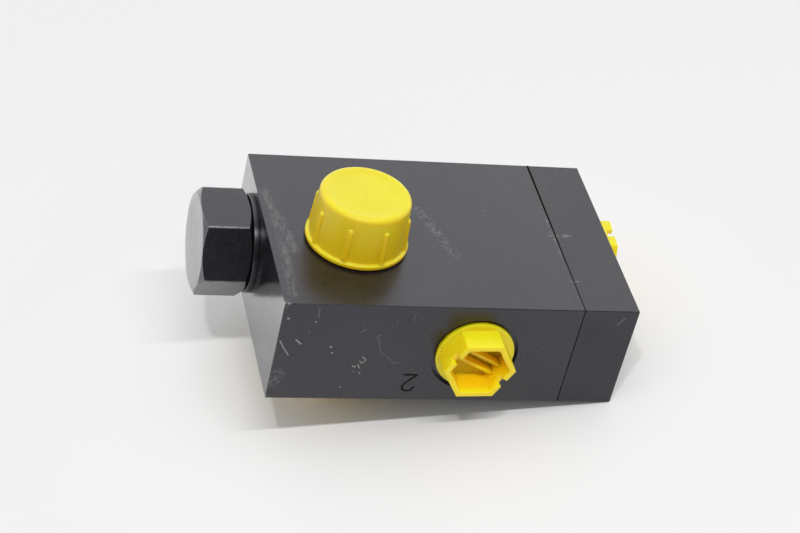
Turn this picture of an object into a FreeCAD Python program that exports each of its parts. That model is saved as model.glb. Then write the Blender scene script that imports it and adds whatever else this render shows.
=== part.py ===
import FreeCAD, Part
import math
import os
from types import SimpleNamespace

import Sketcher
from FreeCAD import Placement, Rotation, Vector

# Non-return valve block with bolted inlet cover, sprung poppet and plastic port closures.
# Frame in millimetres: +X along the flow bore from the hexagon plug to the inlet cover,
# +Y from the outlet face to the mounting face, +Z up. The origin is the centre of the four
# tapped mounting holes on the mounting face.

# Driving dimensions: name, value, meaning
DIMENSIONS = (
    ("block_length", 126.0, "valve block from the plug face to the cover joint"),
    ("block_depth", 100.0, "valve block from the outlet face to the mounting face"),
    ("block_height", 50.0, "valve block and cover thickness"),
    ("cover_thickness", 24.0, "inlet cover along the flow bore"),
    ("edge_chamfer", 0.25, "broken edge of block and cover"),
    ("flat_gap", 0.05, "gap between flat faces of a closure and what it closes"),
    ("thread_gap", 0.1, "radial gap of a plain stand-in for a screw thread"),
    ("bore_from_back", 30.0, "flow bore axis from the mounting face"),
    ("guide_diameter", 24.0, "poppet and guide bore"),
    ("guide_gap", 0.05, "radial running gap of the poppet"),
    ("chamber_length", 32.0, "outlet chamber before the seat edge"),
    ("chamber_diameter", 32.0, "outlet chamber and seat insert"),
    ("seat_length", 22.0, "seat insert from the seat edge to the cover joint"),
    ("seat_diameter", 18.0, "seat bore"),
    ("seat_gap", 0.15, "poppet cone clear of the seat edge"),
    ("seat_fit_gap", 0.05, "radial gap of the seat insert"),
    ("seat_flange_diameter", 38.0, "seat insert flange"),
    ("seat_flange_thickness", 4.0, "seat insert flange"),
    ("seat_groove_setback", 6.0, "seal groove of the seat insert from the seat edge"),
    ("seal_section", 2.4, "radial depth of the seat insert's seal groove"),
    ("seal_width", 3.2, "seat o-ring along the bore"),
    ("backup_width", 1.4, "seat back-up ring along the bore"),
    ("poppet_back", 40.0, "poppet skirt from the plug face"),
    ("poppet_tip_diameter", 11.0, "flat end of the poppet cone"),
    ("poppet_pocket_diameter", 17.2, "spring pocket of the poppet"),
    ("poppet_nose_length", 20.0, "spring pocket floor of the poppet from the seat edge"),
    ("poppet_port_diameter", 3.0, "pressure balance holes of the poppet"),
    ("poppet_port_setback", 5.0, "pressure balance holes from the spring pocket floor"),
    ("poppet_groove_width", 0.8, "balance grooves of the poppet"),
    ("poppet_groove_depth", 0.4, "balance grooves of the poppet"),
    ("poppet_groove_pitch", 6.0, "balance grooves of the poppet"),
    ("poppet_lift", 7.5, "poppet travel off its seat"),
    ("stop_gap", 0.3, "gap left at the poppet's full lift"),
    ("plug_thread_diameter", 36.0, "hexagon plug thread"),
    ("plug_thread_length", 20.0, "hexagon plug thread in the block"),
    ("plug_bore_length", 22.0, "threaded bore for the hexagon plug"),
    ("plug_hex_width", 41.0, "hexagon plug across flats"),
    ("plug_hex_length", 21.3, "hexagon plug head"),
    ("plug_hex_turn", 7.0, "hexagon plug corner above the Y direction"),
    ("plug_front_circle", 20.45, "radius of the outer turned face of the hexagon"),
    ("plug_back_circle", 19.4, "radius of the inner turned face of the hexagon"),
    ("plug_chamfer_angle", 30.0, "turned chamfer of the hexagon"),
    ("plug_nose_gap", 0.25, "radial gap of the plug nose in the guide bore"),
    ("plug_pocket_diameter", 17.6, "spring pocket of the hexagon plug"),
    ("plug_pocket_floor", 19.0, "spring pocket floor from the plug face"),
    ("plug_seal_diameter", 41.4, "seal ring under the hexagon"),
    ("plug_seal_bore", 36.6, "seal ring under the hexagon"),
    ("plug_seal_thickness", 2.4, "seal ring under the hexagon"),
    ("plug_seal_bevel", 0.5, "outer edge of the seal ring"),
    ("guide_head_diameter", 16.8, "spring guide head"),
    ("guide_head_thickness", 3.0, "spring guide head"),
    ("guide_stem_diameter", 10.4, "spring guide stem"),
    ("guide_stem_length", 38.0, "spring guide stem"),
    ("spring_wire", 1.8, "spring wire diameter"),
    ("spring_mean_diameter", 13.8, "spring mean coil diameter"),
    ("spring_turns", 8.0, "active turns of the spring"),
    ("port_from_left", 36.7, "upper and lower port axis from the plug face"),
    ("upper_port_from_bore", 27.7, "upper port axis from the flow bore"),
    ("lower_port_from_bore", 23.0, "lower port axis from the flow bore"),
    ("port_spot_diameter", 36.0, "spot face of the upper and lower ports"),
    ("port_spot_depth", 2.0, "spot face of the upper and lower ports"),
    ("port_thread_diameter", 24.0, "nipple thread in the block"),
    ("port_passage_diameter", 16.0, "passage behind the thread of each port"),
    ("port_passage_start", 8.5, "shoulder of the port threads from mid height"),
    ("port_passage_past", 6.0, "each passage drilled past mid height, into the other and the cross drilling"),
    ("nipple_shank_length", 13.0, "nipple thread below the block face"),
    ("nipple_diameter", 35.8, "outer thread of the nipple"),
    ("nipple_height", 22.0, "nipple above the block face"),
    ("nipple_end_chamfer", 1.5, "thread run-in of the nipple"),
    ("nipple_mouth_diameter", 25.0, "cone mouth of the nipple"),
    ("nipple_cone_depth", 6.0, "cone mouth of the nipple"),
    ("nipple_cone_angle", 12.0, "half angle of the cone mouth"),
    ("nipple_hex_width", 19.0, "key hexagon in the nipple"),
    ("nipple_hex_depth", 14.0, "key hexagon floor below the nipple end"),
    ("port_seal_diameter", 35.0, "seal ring under the nipple"),
    ("port_seal_bore", 24.6, "seal ring under the nipple"),
    ("cap_lift", 0.8, "cap rim above the block face"),
    ("cap_flange_diameter", 43.1, "cap flange"),
    ("cap_flange_thickness", 2.0, "cap flange"),
    ("cap_bore_diameter", 36.3, "cap bore over the nipple"),
    ("cap_base_diameter", 40.3, "cap skirt above the flange"),
    ("cap_crown_diameter", 37.9, "cap skirt at the crown"),
    ("cap_crown_height", 24.2, "cap crown above the block face"),
    ("cap_crown_thickness", 1.9, "cap crown"),
    ("cap_crown_round", 1.3, "rounded edge of the crown"),
    ("cap_dish_diameter", 30.0, "shallow dish in the crown"),
    ("cap_dish_depth", 0.35, "shallow dish in the crown"),
    ("cap_gate_diameter", 1.8, "moulding gate in the middle of the crown"),
    ("cap_rib_count", 8.0, "grip ribs of the cap"),
    ("cap_rib_first", 18.5, "angle of the first grip rib"),
    ("cap_rib_radius", 1.1, "half-round grip rib"),
    ("cap_rib_proud", 0.75, "grip rib proud of the skirt"),
    ("cap_rib_top", 18.2, "grip rib end above the block face"),
    ("outlet_from_left", 83.8, "outlet port axis from the plug face"),
    ("pipe_spot_diameter", 36.8, "spot face of outlet and inlet"),
    ("outlet_spot_depth", 2.0, "spot face of the outlet"),
    ("inlet_spot_depth", 1.0, "spot face of the inlet"),
    ("pipe_thread_diameter", 26.44, "pipe thread of outlet and inlet"),
    ("pipe_thread_length", 16.0, "pipe thread of outlet and inlet"),
    ("passage_diameter", 18.0, "drilling behind the pipe threads"),
    ("cross_from_bore", 32.0, "cross drilling axis from the flow bore"),
    ("cross_diameter", 14.0, "cross drilling between the ports"),
    ("stopper_flange_diameter", 34.2, "yellow screw stopper flange"),
    ("stopper_flange_thickness", 2.2, "yellow screw stopper flange"),
    ("stopper_thread_gap", 0.3, "radial gap of the stopper in its port"),
    ("stopper_shank_length", 12.0, "stopper below the flange"),
    ("stopper_wall", 1.7, "stopper shank wall"),
    ("stopper_hex_width", 26.6, "stopper hexagon"),
    ("stopper_hex_height", 10.3, "stopper hexagon above the flange"),
    ("stopper_hex_wall", 2.0, "stopper hexagon wall"),
    ("outlet_stopper_turn", 1.8, "outlet stopper as screwed in, about its axis"),
    ("inlet_stopper_turn", 37.0, "inlet stopper as screwed in, about its axis"),
    ("stopper_cup_depth", 12.0, "stopper cup below the rim"),
    ("stopper_slot_width", 3.6, "driver slot across the stopper"),
    ("stopper_slot_depth", 3.0, "driver slot in the rim"),
    ("stopper_rib_thickness", 1.4, "ribs beside the driver slot"),
    ("stopper_rib_height", 4.7, "ribs above the cup floor"),
    ("screw_diameter", 8.0, "cover screw"),
    ("screw_length", 30.0, "cover screw under its head"),
    ("screw_head_diameter", 13.0, "cover screw head"),
    ("screw_head_height", 8.0, "cover screw head"),
    ("screw_key_width", 6.0, "cover screw key hexagon"),
    ("screw_key_depth", 4.0, "cover screw key hexagon"),
    ("screw_hole_diameter", 9.0, "cover screw clearance hole"),
    ("screw_sink_diameter", 14.0, "cover screw counterbore"),
    ("screw_sink_depth", 8.6, "cover screw counterbore"),
    ("screw_tap_depth", 18.0, "cover screw tapped hole"),
    ("screw_from_bore_depthwise", 21.0, "cover screws from the flow bore, along Y"),
    ("screw_from_bore_upright", 15.5, "cover screws from the flow bore, along Z"),
    ("screw_from_front", 10.0, "front pair of cover screws from the outlet face"),
    ("pin_diameter", 6.0, "locating pin"),
    ("pin_length", 15.6, "locating pin"),
    ("pin_hole_depth", 8.0, "locating pin hole in block and cover"),
    ("pin_gap", 0.02, "radial gap of the locating pins"),
    ("pin_from_cross", 18.0, "first locating pin from the cross drilling, along Y"),
    ("pin_from_bore", 23.5, "second locating pin from the flow bore, along Y"),
    ("gasket_groove_depth", 2.1, "face seal grooves in the cover"),
    ("gasket_groove_width", 3.0, "face seal grooves in the cover"),
    ("gasket_gap", 0.05, "gap round a squeezed seal in its groove"),
    ("seal_shoulder_share", 0.3, "bevelled shoulder of a squeezed seal, as a share of its narrow side"),
    ("inlet_gasket_diameter", 26.0, "mean diameter of the inlet face seal"),
    ("cross_gasket_diameter", 18.4, "mean diameter of the cross drilling's face seal"),
    ("mount_tap_diameter", 8.0, "tapped mounting hole"),
    ("mount_tap_depth", 13.0, "tapped mounting hole"),
    ("mount_spacing_long", 70.0, "mounting holes along X"),
    ("mount_spacing_upright", 31.0, "mounting holes along Z"),
    ("drill_point_angle", 118.0, "drill point of blind holes"),
)

DOCUMENT_NAME = "non_return_valve"
SHEET_NAME = "Sizes"
FULL_TURN = 360.0
WIRE_SIDES = 8
HALF_SIDE = FULL_TURN / WIRE_SIDES / 2


class Size:
    """A length or an angle: its number, and its formula in the sheet's names."""

    def __init__(self, number, formula):
        self.number = number
        self.formula = formula

    def combine(self, other, sign, result):
        return Size(result, f"({self.formula} {sign} {other.formula})")

    def __add__(self, other):
        other = as_size(other)
        return self.combine(other, "+", self.number + other.number)

    def __sub__(self, other):
        other = as_size(other)
        return self.combine(other, "-", self.number - other.number)

    def __mul__(self, other):
        other = as_size(other)
        return self.combine(other, "*", self.number * other.number)

    def __truediv__(self, other):
        other = as_size(other)
        return self.combine(other, "/", self.number / other.number)

    def __radd__(self, other):
        return as_size(other) + self

    def __rsub__(self, other):
        return as_size(other) - self

    def __rmul__(self, other):
        return as_size(other) * self

    def __neg__(self):
        return Size(-self.number, f"(-1 * {self.formula})")


def as_size(value):
    """Returns value as a Size, with a plain number as its own formula."""
    return value if isinstance(value, Size) else Size(float(value), repr(float(value)))


def sine(angle):
    angle = as_size(angle)
    return Size(math.sin(math.radians(angle.number)), f"sin({angle.formula})")


def cosine(angle):
    angle = as_size(angle)
    return Size(math.cos(math.radians(angle.number)), f"cos({angle.formula})")


def tangent(angle):
    return sine(angle) / cosine(angle)


def arc_tangent(rise, run):
    rise = as_size(rise)
    run = as_size(run)
    angle = math.degrees(math.atan2(rise.number, run.number))
    return Size(angle, f"atan({rise.formula} / {run.formula})")


# Document, sheet and named sizes
doc = FreeCAD.newDocument(DOCUMENT_NAME)
sheet = doc.addObject("Spreadsheet::Sheet", SHEET_NAME)
for row, (alias, value, meaning) in enumerate(DIMENSIONS, start=1):
    sheet.set(f"A{row}", alias)
    sheet.set(f"B{row}", str(value))
    sheet.set(f"C{row}", meaning)
    sheet.setAlias(f"B{row}", alias)
doc.recompute()
dim = SimpleNamespace(**{alias: Size(value, f"{SHEET_NAME}.{alias}") for alias, value, _ in DIMENSIONS})

# Planes and axes that several pieces share
LEFT = -dim.block_length / 2
JOINT = dim.block_length / 2
RIGHT = JOINT + dim.cover_thickness
FRONT = -dim.block_depth
TOP = dim.block_height / 2
BORE_Y = -dim.bore_from_back
PORT_X = LEFT + dim.port_from_left
UPPER_PORT_Y = BORE_Y - dim.upper_port_from_bore
LOWER_PORT_Y = BORE_Y - dim.lower_port_from_bore
OUTLET_X = LEFT + dim.outlet_from_left
CROSS_Y = BORE_Y - dim.cross_from_bore

# Distances along the flow bore from the plug face
SEAT_FACE = dim.block_length - dim.seat_length
SEAT_GROOVE = SEAT_FACE + dim.seat_groove_setback
CHAMBER_START = SEAT_FACE - dim.chamber_length
POCKET_END = SEAT_FACE - dim.poppet_nose_length
POPPET_STOP = dim.poppet_back - dim.poppet_lift - dim.stop_gap

nodes = []


# Helpers: binding, sketches and features

def bind(obj, path, value):
    """Ties one property of an object to the sheet."""
    obj.setExpression(path, as_size(value).formula)


def place(obj, origin, axis=Vector(0, 0, 1), angle=0):
    """Turns an object about an axis and puts its own origin at a point."""
    obj.Placement = Placement(Vector(*(as_size(value).number for value in origin)), Rotation(axis, angle))
    for name, value in zip("xyz", origin):
        bind(obj, f"Placement.Base.{name}", value)


def new_body(label):
    body = doc.addObject("PartDesign::Body", label)
    body.Label = label
    nodes.append(body)
    return body


def new_sketch(body, role, origin=(0, 0, 0)):
    """Puts a sketch on one of the body's own planes, moved by origin in that plane's axes."""
    sketch = body.newObject("Sketcher::SketchObject", body.Label + "_sketch")
    plane = next(item for item in body.Origin.OriginFeatures if item.Role == role)
    sketch.AttachmentSupport = (plane, [""])
    sketch.MapMode = "FlatFace"
    for name, value in zip("xyz", origin):
        bind(sketch, f"AttachmentOffset.Base.{name}", value)
    return sketch


def fix_point(sketch, geometry, point, x, y):
    """Holds a sketch point at x, y from the sketch's origin."""
    for kind, value, line in (("DistanceX", x, -2), ("DistanceY", y, -1)):
        value = as_size(value)
        if value.formula == "0.0":
            sketch.addConstraint(Sketcher.Constraint("PointOnObject", geometry, point, line))
            continue
        index = sketch.addConstraint(Sketcher.Constraint(kind, -1, 1, geometry, point, value.number))
        bind(sketch, f"Constraints[{index}]", value)


def outline(sketch, points):
    """Draws a closed outline of straight lines through the points."""
    corners = [Vector(as_size(x).number, as_size(y).number, 0) for x, y in points]
    first = sketch.GeometryCount
    count = len(corners)
    for i in range(count):
        sketch.addGeometry(Part.LineSegment(corners[i], corners[(i + 1) % count]))
    for i in range(count):
        following = first + (i + 1) % count
        sketch.addConstraint(Sketcher.Constraint("Coincident", first + i, 2, following, 1))
    for i, (x, y) in enumerate(points):
        fix_point(sketch, first + i, 1, x, y)


def circle(sketch, x, y, radius):
    """Draws a circle of the given radius about x, y."""
    centre = Vector(as_size(x).number, as_size(y).number, 0)
    index = sketch.addGeometry(Part.Circle(centre, Vector(0, 0, 1), as_size(radius).number))
    fix_point(sketch, index, 3, x, y)
    limit = sketch.addConstraint(Sketcher.Constraint("Radius", index, as_size(radius).number))
    bind(sketch, f"Constraints[{limit}]", radius)


def polygon(sketch, sides, corner_radius, turn=0, centre=(0, 0)):
    """Draws a regular polygon about centre, its first corner at the angle turn."""
    corners = []
    for i in range(sides):
        angle = turn + FULL_TURN / sides * i
        corners.append((centre[0] + corner_radius * cosine(angle), centre[1] + corner_radius * sine(angle)))
    outline(sketch, corners)


def hexagon(sketch, across_flats, turn=0):
    """Draws a hexagon about the sketch's origin, its first corner at the angle turn."""
    polygon(sketch, 6, across_flats / 2 / cosine(30), turn)


def rectangle(sketch, low_x, low_y, high_x, high_y):
    outline(sketch, ((low_x, low_y), (high_x, low_y), (high_x, high_y), (low_x, high_y)))


def volume_of(body):
    return 0.0 if body.Shape.isNull() else body.Shape.Volume


def finish_feature(body, feature, removes):
    """Computes a feature and checks that it adds or removes material as meant."""
    before = volume_of(body)
    doc.recompute()
    after = volume_of(body)
    changed = after < before if removes else after > before
    if not changed:
        raise RuntimeError(f"{feature.Label} of {body.Label} leaves the volume at {after:.1f}")
    return feature


def extrude(body, kind, sketch, length, backwards=False):
    feature = body.newObject(f"PartDesign::{kind}", f"{body.Label}_{kind.lower()}")
    feature.Profile = sketch
    feature.Reversed = backwards
    bind(feature, "Length", length)
    return finish_feature(body, feature, kind == "Pocket")


def pad(body, sketch, length, backwards=False):
    return extrude(body, "Pad", sketch, length, backwards)


def pocket(body, sketch, length, backwards=False):
    return extrude(body, "Pocket", sketch, length, backwards)


def turn(body, kind, sketch, axis):
    feature = body.newObject(f"PartDesign::{kind}", f"{body.Label}_{kind.lower()}")
    feature.Profile = sketch
    feature.ReferenceAxis = (sketch, [axis])
    feature.Angle = FULL_TURN
    return finish_feature(body, feature, kind == "Groove")


def revolve(body, sketch, axis="V_Axis"):
    return turn(body, "Revolution", sketch, axis)


def groove(body, sketch, axis="V_Axis"):
    return turn(body, "Groove", sketch, axis)


def drill(body, sketch, diameter, depth, backwards=False):
    """Drills blind holes with a pointed floor at the sketch's circles."""
    doc.recompute()
    hole = body.newObject("PartDesign::Hole", f"{body.Label}_hole")
    hole.Profile = sketch
    hole.Threaded = False
    hole.DepthType = "Dimension"
    hole.DrillPoint = "Angled"
    hole.Reversed = backwards
    bind(hole, "Diameter", diameter)
    bind(hole, "Depth", depth)
    bind(hole, "DrillPointAngle", dim.drill_point_angle)
    return finish_feature(body, hole, True)


def dress(body, kind, base, size, edges):
    """Adds a fillet or a chamfer on the named edges of a feature."""
    feature = body.newObject(f"PartDesign::{kind}", f"{body.Label}_{kind.lower()}")
    feature.Base = (base, edges)
    bind(feature, "Size" if kind == "Chamfer" else "Radius", size)
    doc.recompute()
    return feature


def edge_names(feature, test):
    """Names the edges of a feature that pass a test."""
    return [f"Edge{i}" for i, edge in enumerate(feature.Shape.Edges, start=1) if test(edge)]


def is_ring(edge, radius, height):
    """Tells whether an edge is a full circle about Z of this radius at this height."""
    curve = edge.Curve
    if not isinstance(curve, Part.Circle) or len(edge.Vertexes) > 1:
        return False
    return abs(curve.Radius - radius) < 1e-4 and abs(curve.Center.z - height) < 1e-4


def compound(label, pieces):
    """Groups separate solids as one sub-part."""
    group = doc.addObject("Part::Compound", label)
    group.Label = label
    group.Links = pieces
    nodes.append(group)
    return group


def cover_screw_places():
    """Centres of the cover screws as Y and Z: four round the bore and a pair in front."""
    places = []
    for y in (BORE_Y - dim.screw_from_bore_depthwise, BORE_Y + dim.screw_from_bore_depthwise,
              FRONT + dim.screw_from_front):
        for z in (-dim.screw_from_bore_upright, dim.screw_from_bore_upright):
            places.append((y, z))
    return places


def pin_places():
    """Centres of the locating pins as Y."""
    return [CROSS_Y - dim.pin_from_cross, BORE_Y + dim.pin_from_bore]


# Valve block

def make_valve_block():
    body = new_body("valve_block")
    base = new_sketch(body, "XY_Plane", (0, 0, -TOP))
    rectangle(base, LEFT, FRONT, JOINT, 0)
    blank = pad(body, base, dim.block_height)
    dress(body, "Chamfer", blank, dim.edge_chamfer, edge_names(blank, lambda edge: True))

    thread = dim.plug_thread_diameter / 2 + dim.thread_gap
    guide = dim.guide_diameter / 2 + dim.guide_gap
    chamber = dim.chamber_diameter / 2 + dim.seat_fit_gap
    flange = dim.seat_flange_diameter / 2 + dim.seat_fit_gap
    flange_start = dim.block_length - dim.seat_flange_thickness
    bore = new_sketch(body, "XY_Plane", (LEFT, BORE_Y, 0))
    outline(bore, (
        (0, 0), (0, thread),
        (dim.plug_bore_length, thread), (dim.plug_bore_length, guide),
        (CHAMBER_START, guide), (CHAMBER_START, chamber),
        (flange_start, chamber), (flange_start, flange),
        (dim.block_length, flange), (dim.block_length, 0),
    ))
    groove(body, bore, "H_Axis")

    spot = dim.port_spot_diameter / 2
    nipple = dim.port_thread_diameter / 2 + dim.thread_gap
    passage = dim.port_passage_diameter / 2
    spot_floor = TOP - dim.port_spot_depth
    shoulder = dim.port_passage_start
    past = dim.port_passage_past
    for side, port_y in ((1, UPPER_PORT_Y), (-1, LOWER_PORT_Y)):
        port = new_sketch(body, "XZ_Plane", (PORT_X, 0, -port_y))
        outline(port, (
            (0, -side * past), (passage, -side * past), (passage, side * shoulder), (nipple, side * shoulder),
            (nipple, side * spot_floor), (spot, side * spot_floor), (spot, side * TOP), (0, side * TOP),
        ))
        groove(body, port)

    outlet = new_sketch(body, "XY_Plane", (OUTLET_X, FRONT, 0))
    outline(outlet, pipe_port_outline(dim.outlet_spot_depth, dim.block_depth - dim.bore_from_back))
    groove(body, outlet)

    cross = new_sketch(body, "XY_Plane", (PORT_X, CROSS_Y, 0))
    reach = dim.block_length - dim.port_from_left
    rectangle(cross, 0, 0, reach, dim.cross_diameter / 2)
    groove(body, cross, "H_Axis")

    taps = new_sketch(body, "YZ_Plane", (0, 0, JOINT))
    for y, z in cover_screw_places():
        circle(taps, y, z, dim.screw_diameter / 2 + dim.thread_gap)
    drill(body, taps, dim.screw_diameter + 2 * dim.thread_gap, dim.screw_tap_depth)

    pins = new_sketch(body, "YZ_Plane", (0, 0, JOINT))
    for y in pin_places():
        circle(pins, y, 0, dim.pin_diameter / 2 + dim.pin_gap)
    pocket(body, pins, dim.pin_hole_depth)

    mounts = new_sketch(body, "XZ_Plane")
    for x in (-dim.mount_spacing_long / 2, dim.mount_spacing_long / 2):
        for z in (-dim.mount_spacing_upright / 2, dim.mount_spacing_upright / 2):
            circle(mounts, x, z, dim.mount_tap_diameter / 2)
    drill(body, mounts, dim.mount_tap_diameter, dim.mount_tap_depth, backwards=True)
    return body


def pipe_port_outline(spot_depth, reach):
    """Half section of a pipe port: spot face, thread and passage, down from its face."""
    spot = dim.pipe_spot_diameter / 2
    thread = dim.pipe_thread_diameter / 2
    passage = dim.passage_diameter / 2
    thread_end = spot_depth + dim.pipe_thread_length
    return (
        (0, 0), (spot, 0), (spot, spot_depth), (thread, spot_depth),
        (thread, thread_end), (passage, thread_end), (passage, reach), (0, reach),
    )


# Inlet cover with its screws, pins and face seals

def make_end_plate():
    body = new_body("end_plate")
    base = new_sketch(body, "XY_Plane", (0, 0, -TOP))
    rectangle(base, JOINT, FRONT, RIGHT, 0)
    blank = pad(body, base, dim.block_height)
    dress(body, "Chamfer", blank, dim.edge_chamfer, edge_names(blank, lambda edge: True))

    port = new_sketch(body, "XY_Plane", (RIGHT, BORE_Y, 0))
    section = pipe_port_outline(dim.inlet_spot_depth, dim.cover_thickness)
    outline(port, [(-depth, radius) for radius, depth in section])
    groove(body, port, "H_Axis")

    for centre_y, mean_diameter in gasket_places():
        seal = new_sketch(body, "XY_Plane", (JOINT, centre_y, 0))
        inner = mean_diameter / 2 - dim.gasket_groove_width / 2
        rectangle(seal, 0, inner, dim.gasket_groove_depth, inner + dim.gasket_groove_width)
        groove(body, seal, "H_Axis")

    holes = new_sketch(body, "YZ_Plane", (0, 0, RIGHT))
    sinks = new_sketch(body, "YZ_Plane", (0, 0, RIGHT))
    for y, z in cover_screw_places():
        circle(holes, y, z, dim.screw_hole_diameter / 2)
        circle(sinks, y, z, dim.screw_sink_diameter / 2)
    pocket(body, holes, dim.cover_thickness)
    pocket(body, sinks, dim.screw_sink_depth)

    pins = new_sketch(body, "YZ_Plane", (0, 0, JOINT))
    for y in pin_places():
        circle(pins, y, 0, dim.pin_diameter / 2 + dim.pin_gap)
    pocket(body, pins, dim.pin_hole_depth, backwards=True)
    return body


def gasket_places():
    """Axis height along Y and mean diameter of each face seal in the cover."""
    return ((BORE_Y, dim.inlet_gasket_diameter), (CROSS_Y, dim.cross_gasket_diameter))


def squeezed_ring(label, start_x, centre_y, inner, outer, width):
    """A rubber ring about an axis along X, squeezed to fill its groove, with its shoulders bevelled."""
    body = new_body(label)
    section = new_sketch(body, "XY_Plane", (start_x, centre_y, 0))
    rectangle(section, 0, inner, width, outer)
    ring = revolve(body, section, "H_Axis")
    narrow = width if width.number < (outer - inner).number else outer - inner
    rims = edge_names(ring, lambda edge: isinstance(edge.Curve, Part.Circle))
    dress(body, "Chamfer", ring, narrow * dim.seal_shoulder_share, rims)
    return body


def make_gaskets():
    for label, (centre_y, mean_diameter) in zip(("inlet_o_ring", "cross_bore_o_ring"), gasket_places()):
        inner = mean_diameter / 2 - dim.gasket_groove_width / 2 + dim.gasket_gap
        outer = mean_diameter / 2 + dim.gasket_groove_width / 2 - dim.gasket_gap
        start = JOINT + dim.gasket_gap
        squeezed_ring(label, start, centre_y, inner, outer, dim.gasket_groove_depth - 2 * dim.gasket_gap)


def make_cover_screws():
    """Socket head screws seated on the floors of their counterbores."""
    seat_x = RIGHT - dim.screw_sink_depth
    screws = []
    for y, z in cover_screw_places():
        head = doc.addObject("Part::Cylinder", "screw_head")
        bind(head, "Radius", dim.screw_head_diameter / 2)
        bind(head, "Height", dim.screw_head_height)
        place(head, (seat_x, y, z), Vector(0, 1, 0), 90)
        shank = doc.addObject("Part::Cylinder", "screw_shank")
        bind(shank, "Radius", dim.screw_diameter / 2)
        bind(shank, "Height", dim.screw_length)
        place(shank, (seat_x - dim.screw_length, y, z), Vector(0, 1, 0), 90)
        blank = doc.addObject("Part::Fuse", "screw_blank")
        blank.Base = head
        blank.Tool = shank
        key = doc.addObject("Part::Prism", "screw_key")
        key.Polygon = 6
        bind(key, "Circumradius", dim.screw_key_width / 2 / cosine(30))
        bind(key, "Height", dim.screw_key_depth)
        place(key, (seat_x + dim.screw_head_height - dim.screw_key_depth, y, z), Vector(0, 1, 0), 90)
        screw = doc.addObject("Part::Cut", "cover_screw")
        screw.Base = blank
        screw.Tool = key
        screws.append(screw)
    compound("cover_screws", screws)


def make_dowel_pins():
    pins = []
    for y in pin_places():
        pin = doc.addObject("Part::Cylinder", "dowel_pin")
        bind(pin, "Radius", dim.pin_diameter / 2)
        bind(pin, "Height", dim.pin_length)
        place(pin, (JOINT - dim.pin_length / 2, y, 0), Vector(0, 1, 0), 90)
        pins.append(pin)
    compound("dowel_pins", pins)


# Seat insert with its seals

def make_seat_insert():
    body = new_body("seat_insert")
    section = new_sketch(body, "XY_Plane", (LEFT, BORE_Y, 0))
    bore = dim.seat_diameter / 2
    outer = dim.chamber_diameter / 2
    flange = dim.seat_flange_diameter / 2
    floor = outer - dim.seal_section
    groove_end = SEAT_GROOVE + dim.seal_width + dim.backup_width + 3 * dim.gasket_gap
    flange_start = dim.block_length - dim.seat_flange_thickness
    outline(section, (
        (SEAT_FACE, bore), (SEAT_FACE, outer), (SEAT_GROOVE, outer), (SEAT_GROOVE, floor),
        (groove_end, floor), (groove_end, outer),
        (flange_start, outer), (flange_start, flange),
        (dim.block_length, flange), (dim.block_length, bore),
    ))
    revolve(body, section, "H_Axis")

    outer_seal = outer + dim.seat_fit_gap - dim.gasket_gap
    inner_seal = floor + dim.gasket_gap
    ring_start = LEFT + SEAT_GROOVE + dim.gasket_gap
    squeezed_ring("seat_o_ring", ring_start, BORE_Y, inner_seal, outer_seal, dim.seal_width)
    backup = new_body("seat_backup_ring")
    strip = new_sketch(backup, "XY_Plane", (ring_start + dim.seal_width + dim.gasket_gap, BORE_Y, 0))
    rectangle(strip, 0, inner_seal, dim.backup_width, outer_seal)
    revolve(backup, strip, "H_Axis")


# Poppet, spring and spring guide

def make_poppet():
    body = new_body("poppet")
    outer = dim.guide_diameter / 2
    pocket_radius = dim.poppet_pocket_diameter / 2
    tip = dim.poppet_tip_diameter / 2
    seat = dim.seat_diameter / 2
    contact = SEAT_FACE - dim.seat_gap
    depth = dim.poppet_groove_depth
    section = new_sketch(body, "XY_Plane", (LEFT, BORE_Y, 0))
    points = [(dim.poppet_back, pocket_radius), (dim.poppet_back, outer)]
    for i in range(1, 4):
        start = dim.poppet_back + dim.poppet_groove_pitch * i
        end = start + dim.poppet_groove_width
        points += [(start, outer), (start, outer - depth), (end, outer - depth), (end, outer)]
    points += [
        (contact + seat - outer, outer), (contact + seat - tip, tip), (contact + seat - tip, 0),
        (POCKET_END, 0), (POCKET_END, pocket_radius),
    ]
    outline(section, points)
    revolve(body, section, "H_Axis")

    port = new_sketch(body, "XY_Plane", (LEFT + POCKET_END - dim.poppet_port_setback, BORE_Y, 0))
    circle(port, 0, 0, dim.poppet_port_diameter / 2)
    first = pocket(body, port, outer + pocket_radius, backwards=True)
    pattern = body.newObject("PartDesign::PolarPattern", "poppet_ports")
    pattern.Originals = [first]
    pattern.Axis = (section, ["H_Axis"])
    pattern.Angle = FULL_TURN
    pattern.Occurrences = 4
    body.Tip = pattern
    doc.recompute()


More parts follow.
